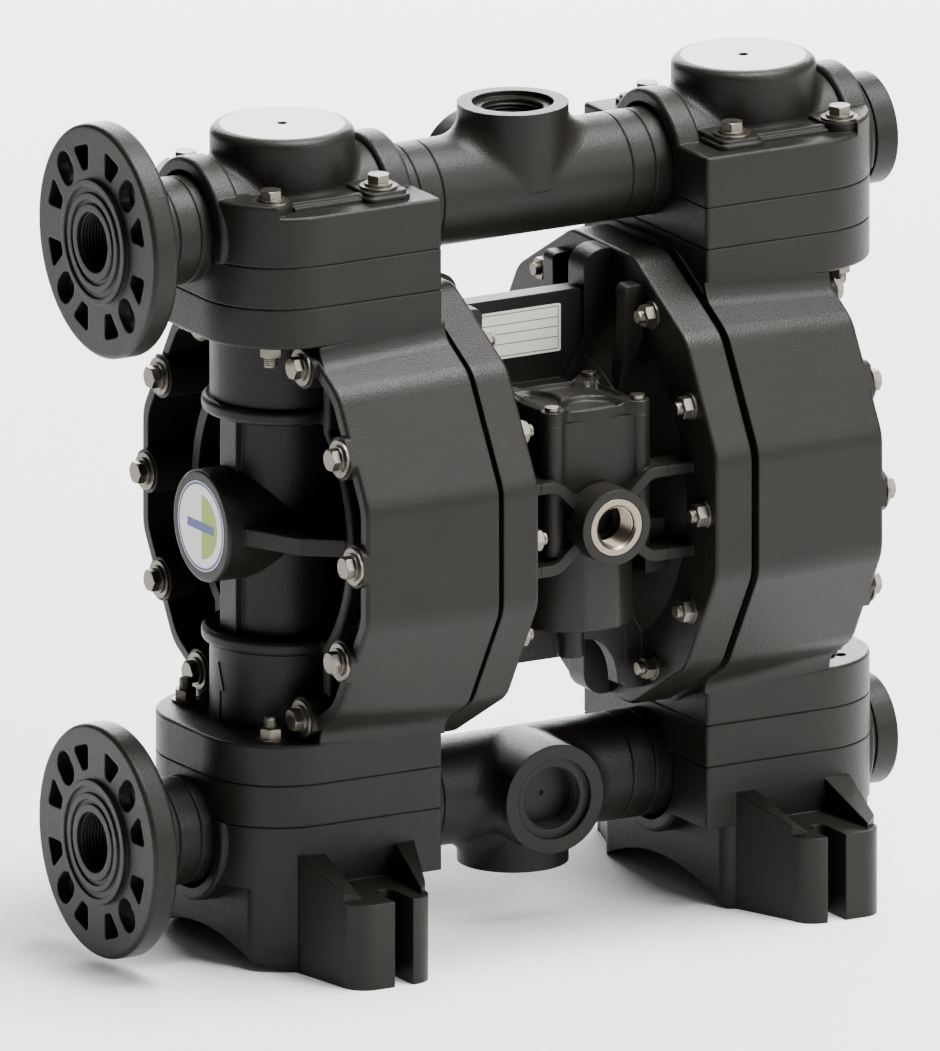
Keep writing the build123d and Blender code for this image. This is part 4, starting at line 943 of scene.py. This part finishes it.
class PUMP_OT_housing_webs(bpy.types.Operator):
    """Make the arched webs and pads beside the centre housing, and the flat front of the valve's barrel"""

    bl_idname = "pump.housing_webs"
    bl_label = "Housing webs"

    def execute(self, context):
        # Outlines of the webs and pads in mm: distance from the middle, and rise above the shaft
        crown, foot, spring, span = -95.2, -127, 24, 22.6
        arch = [(18, -70), (18, crown + 0.6)]
        for i in range(11):
            turn = i / 10 * pi / 2
            arch.append((spring + span * sin(turn), foot + (crown - foot) * cos(turn)))
        arch += [(53, foot), (61, -92), (50, -76), (44, -70)]
        arch = [(x * MM, z * MM) for x, z in arch]
        gap, thick = 0.05 * MM, 12 * MM
        webs = [upright_plate(arch, near + gap, near + thick - gap) for near in (-52 * MM, 40 * MM)]
        tip, pad_front, pad_back = 57.5, -95 * MM, -74 * MM
        for start, low, high in ((28, -22, -9), (42, -44, -30)):
            pad = [(start, low), (54, low), (56.5, low + 1), (tip, low + 3.5), (tip, high), (start, high)]
            webs.append(upright_plate([(x * MM, z * MM) for x, z in pad], pad_front, pad_back))
        parts = [
            placed(mirrored(part, side), move(0, 0, SHAFT_HEIGHT)) for side in (-1, 1) for part in webs
        ]
        # Half of the barrel's front in mm, out from the barrel's axis
        half = [(36, 12), (32.3, 22), (25, 31), (18, 36), (13.6, 39), (12, 39.7), (9.5, 39.9), (0, 39.9)]
        outline = [(-x * MM, -y * MM) for x, y in half] + [(x * MM, -y * MM) for x, y in half[-2::-1]]
        # Rises of the front's rings, and the share of the full width that each has
        levels = ((-72 * MM, 0.955), (-71.2 * MM, 0.985), (-69.6 * MM, 1), (-14 * MM, 1))
        front = skin([[(x * share, y * share, z) for x, y in outline] for z, share in levels])
        parts.append(placed(front, move(0, VALVE_Y, SHAFT_HEIGHT)))
        vertices, faces = merge(parts)
        make_piece("centre_housing_webs", vertices, faces, body_plastic())
        return {"FINISHED"}


class PUMP_OT_valve_body(bpy.types.Operator):
    """Make the swelled faces of the valve body, which run out into its corner posts"""

    bl_idname = "pump.valve_body"
    bl_label = "Valve body"

    def execute(self, context):
        # Half of a face in mm: distance from its middle, and how far it stands out
        swell = [(29, 4.6), (27, 6.3), (24.9, 4.6), (22, 3.4), (18, 2.8), (10, 2.9), (0, 3.1)]
        outline = [(-29 * MM, 3 * MM)] + [(-x * MM, -y * MM) for x, y in swell]
        outline += [(-x, y) for x, y in outline[-2::-1]]
        panel = skin([[(x, y - BODY_HALF, z) for x, y in outline] for z in BODY_SPAN])
        parts = []
        for quarter in (0, 1, 3):
            turn = Matrix.Rotation(quarter * pi / 2, 4, "Z")
            parts.append(placed(panel, move(0, VALVE_Y, SHAFT_HEIGHT, turn)))
        vertices, faces = merge(parts)
        make_piece("valve_body_panels", vertices, faces, fillet_plastic())
        return {"FINISHED"}


class PUMP_OT_flow_arrows(bpy.types.Operator):
    """Make the raised flow arrows at the foot of the columns"""

    bl_idname = "pump.flow_arrows"
    bl_label = "Flow arrows"

    def execute(self, context):
        low, neck, high, proud = -126 * MM, -108 * MM, -90 * MM, 0.8 * MM
        head_half, stem_half, blunt = 6, 2, 0.3 * MM
        head = [
            (step * MM, neck, high - (high - neck - blunt) * abs(step) / head_half)
            for step in range(-head_half, head_half + 1, 2)
        ]
        stem = [(step * MM, low, neck + MM) for step in (-stem_half, 0, stem_half)]
        arrow = merge([on_post(BARREL_RADIUS, proud, part) for part in (head, stem)])
        parts = [
            placed(mirrored(arrow, side), move(side * STACK_X, 0, SHAFT_HEIGHT)) for side in (-1, 1)
        ]
        vertices, faces = merge(parts)
        make_piece("flow_arrows", vertices, faces, fillet_plastic())
        return {"FINISHED"}


class PUMP_OT_port_threads(bpy.types.Operator):
    """Make the threads in the flange bores and the tee ports"""

    bl_idname = "pump.port_threads"
    bl_label = "Port threads"

    def execute(self, context):
        pitch, depth = detail().port_pitch, 1.1 * MM
        bore_radius, bore_span = 19.5 * MM, (-26 * MM, -1 * MM)
        port_radius, port_span = 20 * MM, (-18 * MM, -3.8 * MM)
        bore = screw_thread(bore_radius, depth, pitch, *bore_span)
        port = screw_thread(port_radius, depth, pitch, *port_span)
        for name, rise in (("discharge", MANIFOLD_RISE), ("suction", -MANIFOLD_RISE)):
            z = SHAFT_HEIGHT + rise
            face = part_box(name + "_flange")[0][0]
            vertices, faces = placed(bore, move(face, 0, z, FACING_LEFT))
            make_piece(name + "_flange_thread", vertices, faces, body_plastic())
            low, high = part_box(name + "_tee")
            if rise > 0:
                places = (move(0, 0, high[2]), move(0, high[1], z, FACING_BACK))
            else:
                places = (move(0, 0, low[2], UPSIDE_DOWN), move(0, low[1], z, FACING_FRONT))
            vertices, faces = merge([placed(port, place) for place in places])
            make_piece(name + "_port_threads", vertices, faces, body_plastic())
        return {"FINISHED"}


class PUMP_OT_plate_rules(bpy.types.Operator):
    """Rule the bare rating plate with its frame and rows"""

    bl_idname = "pump.plate_rules"
    bl_label = "Rating plate rules"

    def execute(self, context):
        low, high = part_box("rating_plate")
        rule, inset = detail().rule, 1.6 * MM
        left, right = low[0] + inset, high[0] - inset
        bottom, top = low[2] + inset, high[2] - inset
        proud, sunk = 0.06 * MM, 0.1 * MM
        front, back = low[1] - proud, low[1] + sunk
        bars = [
            (left, bottom, right, bottom + rule),
            (left, top - rule, right, top),
            (left, bottom + rule, left + rule, top - rule),
            (right - rule, bottom + rule, right, top - rule),
        ]
        for share in (0.28, 0.52, 0.74):
            row = bottom + share * (top - bottom)
            bars.append((left + rule, row, right - rule, row + rule))
        parts = [
            upright_plate([(x0, z0), (x1, z0), (x1, z1), (x0, z1)], front, back) for x0, z0, x1, z1 in bars
        ]
        vertices, faces = merge(parts)
        make_piece("rating_plate_rules", vertices, faces, ink())
        return {"FINISHED"}


class PUMP_OT_stage(bpy.types.Operator):
    """Lay the floor and set the lights and the camera"""

    bl_idname = "pump.stage"
    bl_label = "Stage"

    def execute(self, context):
        scene = context.scene
        look = studio()
        mesh = bpy.data.meshes.new("floor")
        reach = 12.0
        corners = [(-reach, -reach, 0), (reach, -reach, 0), (reach, reach, 0), (-reach, reach, 0)]
        mesh.from_pydata(corners, [], [[0, 1, 2, 3]])
        floor = bpy.data.objects.new("floor", mesh)
        mesh.materials.append(plain_finish("painted_board_matt", look.floor, 0.9, 5 * MM, 0.02))
        scene.collection.objects.link(floor)

        world = bpy.data.worlds.new("pale_room")
        world.use_nodes = True
        tree = world.node_tree
        tree.nodes.clear()
        heading = node(tree, "ShaderNodeTexCoord").outputs["Generated"]
        side = node(tree, "ShaderNodeSeparateXYZ", Vector=heading).outputs["X"]
        level = node(
            tree,
            "ShaderNodeMapRange",
            Value=side,
            From_Min=-0.6,
            From_Max=1.0,
            To_Min=look.room_left,
            To_Max=look.room_right,
        )
        back = node(tree, "ShaderNodeBackground", Color=(1, 1, 1, 1), Strength=level.outputs[0])
        node(tree, "ShaderNodeOutputWorld", Surface=back.outputs[0])
        scene.world = world

        centre = Vector((0, 0, SHAFT_HEIGHT))
        # Each light's place and size in metres, and its power
        for name, spot, size, power in (
            ("key_light", (1.1, -2.2, 1.6), 1.4, look.key),
            ("overhead_light", (1.0, -0.7, 4.6), 2.6, look.sky),
            ("fill_light", (-2.2, -0.6, 0.9), 1.4, look.fill),
            ("back_card", (1.6, 3.2, 1.2), 2.6, look.card),
        ):
            data = bpy.data.lights.new(name, "AREA")
            data.shape = "SQUARE"
            data.size = size
            data.energy = power
            light = bpy.data.objects.new(name, data)
            light.location = spot
            light.rotation_euler = (centre - Vector(spot)).to_track_quat("-Z", "Y").to_euler()
            scene.collection.objects.link(light)

        out = Vector(
            (
                cos(CAMERA_ELEVATION) * sin(CAMERA_AZIMUTH),
                -cos(CAMERA_ELEVATION) * cos(CAMERA_AZIMUTH),
                sin(CAMERA_ELEVATION),
            )
        )
        right = Vector((cos(CAMERA_AZIMUTH), sin(CAMERA_AZIMUTH), 0))
        up = out.cross(right)
        aim = centre + right * CAMERA_SHIFT[0] + up * CAMERA_SHIFT[1]
        data = bpy.data.cameras.new("camera")
        data.type = "ORTHO"
        data.ortho_scale = look.view_height
        camera = bpy.data.objects.new("camera", data)
        camera.location = aim + out * CAMERA_DISTANCE
        camera.rotation_euler = (-out).to_track_quat("-Z", "Y").to_euler()
        scene.collection.objects.link(camera)
        scene.camera = camera
        return {"FINISHED"}


OPERATORS = (
    PUMP_OT_stage,
    PUMP_OT_finish_castings,
    PUMP_OT_dome_caps,
    PUMP_OT_coves,
    PUMP_OT_clamp_detail,
    PUMP_OT_bolt_threads,
    PUMP_OT_inlet_bush,
    PUMP_OT_valve_cover,
    PUMP_OT_housing_webs,
    PUMP_OT_valve_body,
    PUMP_OT_flow_arrows,
    PUMP_OT_port_threads,
    PUMP_OT_plate_rules,
)


class PUMP_PT_panel(bpy.types.Panel):
    """Lists the pump's pieces"""

    bl_idname = "PUMP_PT_panel"
    bl_label = "Diaphragm pump"
    bl_space_type = "VIEW_3D"
    bl_region_type = "UI"
    bl_category = "Pump"

    def draw(self, context):
        for group in (context.scene.pump_finish, context.scene.pump_detail, context.scene.pump_studio):
            box = self.layout.box()
            for key in group.__annotations__:
                box.prop(group, key)
        for operator in OPERATORS:
            self.layout.operator(operator.bl_idname)


GROUPS = {"pump_finish": PumpFinish, "pump_detail": PumpDetail, "pump_studio": PumpStudio}


def register():
    for name, group in GROUPS.items():
        bpy.utils.register_class(group)
        setattr(bpy.types.Scene, name, bpy.props.PointerProperty(type=group))
    for operator in OPERATORS:
        bpy.utils.register_class(operator)
    bpy.utils.register_class(PUMP_PT_panel)


def unregister():
    bpy.utils.unregister_class(PUMP_PT_panel)
    for operator in reversed(OPERATORS):
        bpy.utils.unregister_class(operator)
    for name, group in GROUPS.items():
        delattr(bpy.types.Scene, name)
        bpy.utils.unregister_class(group)


def main():
    register()
    for operator in OPERATORS:
        group, name = operator.bl_idname.split(".")
        getattr(getattr(bpy.ops, group), name)()


if __name__ == "__main__":
    main()
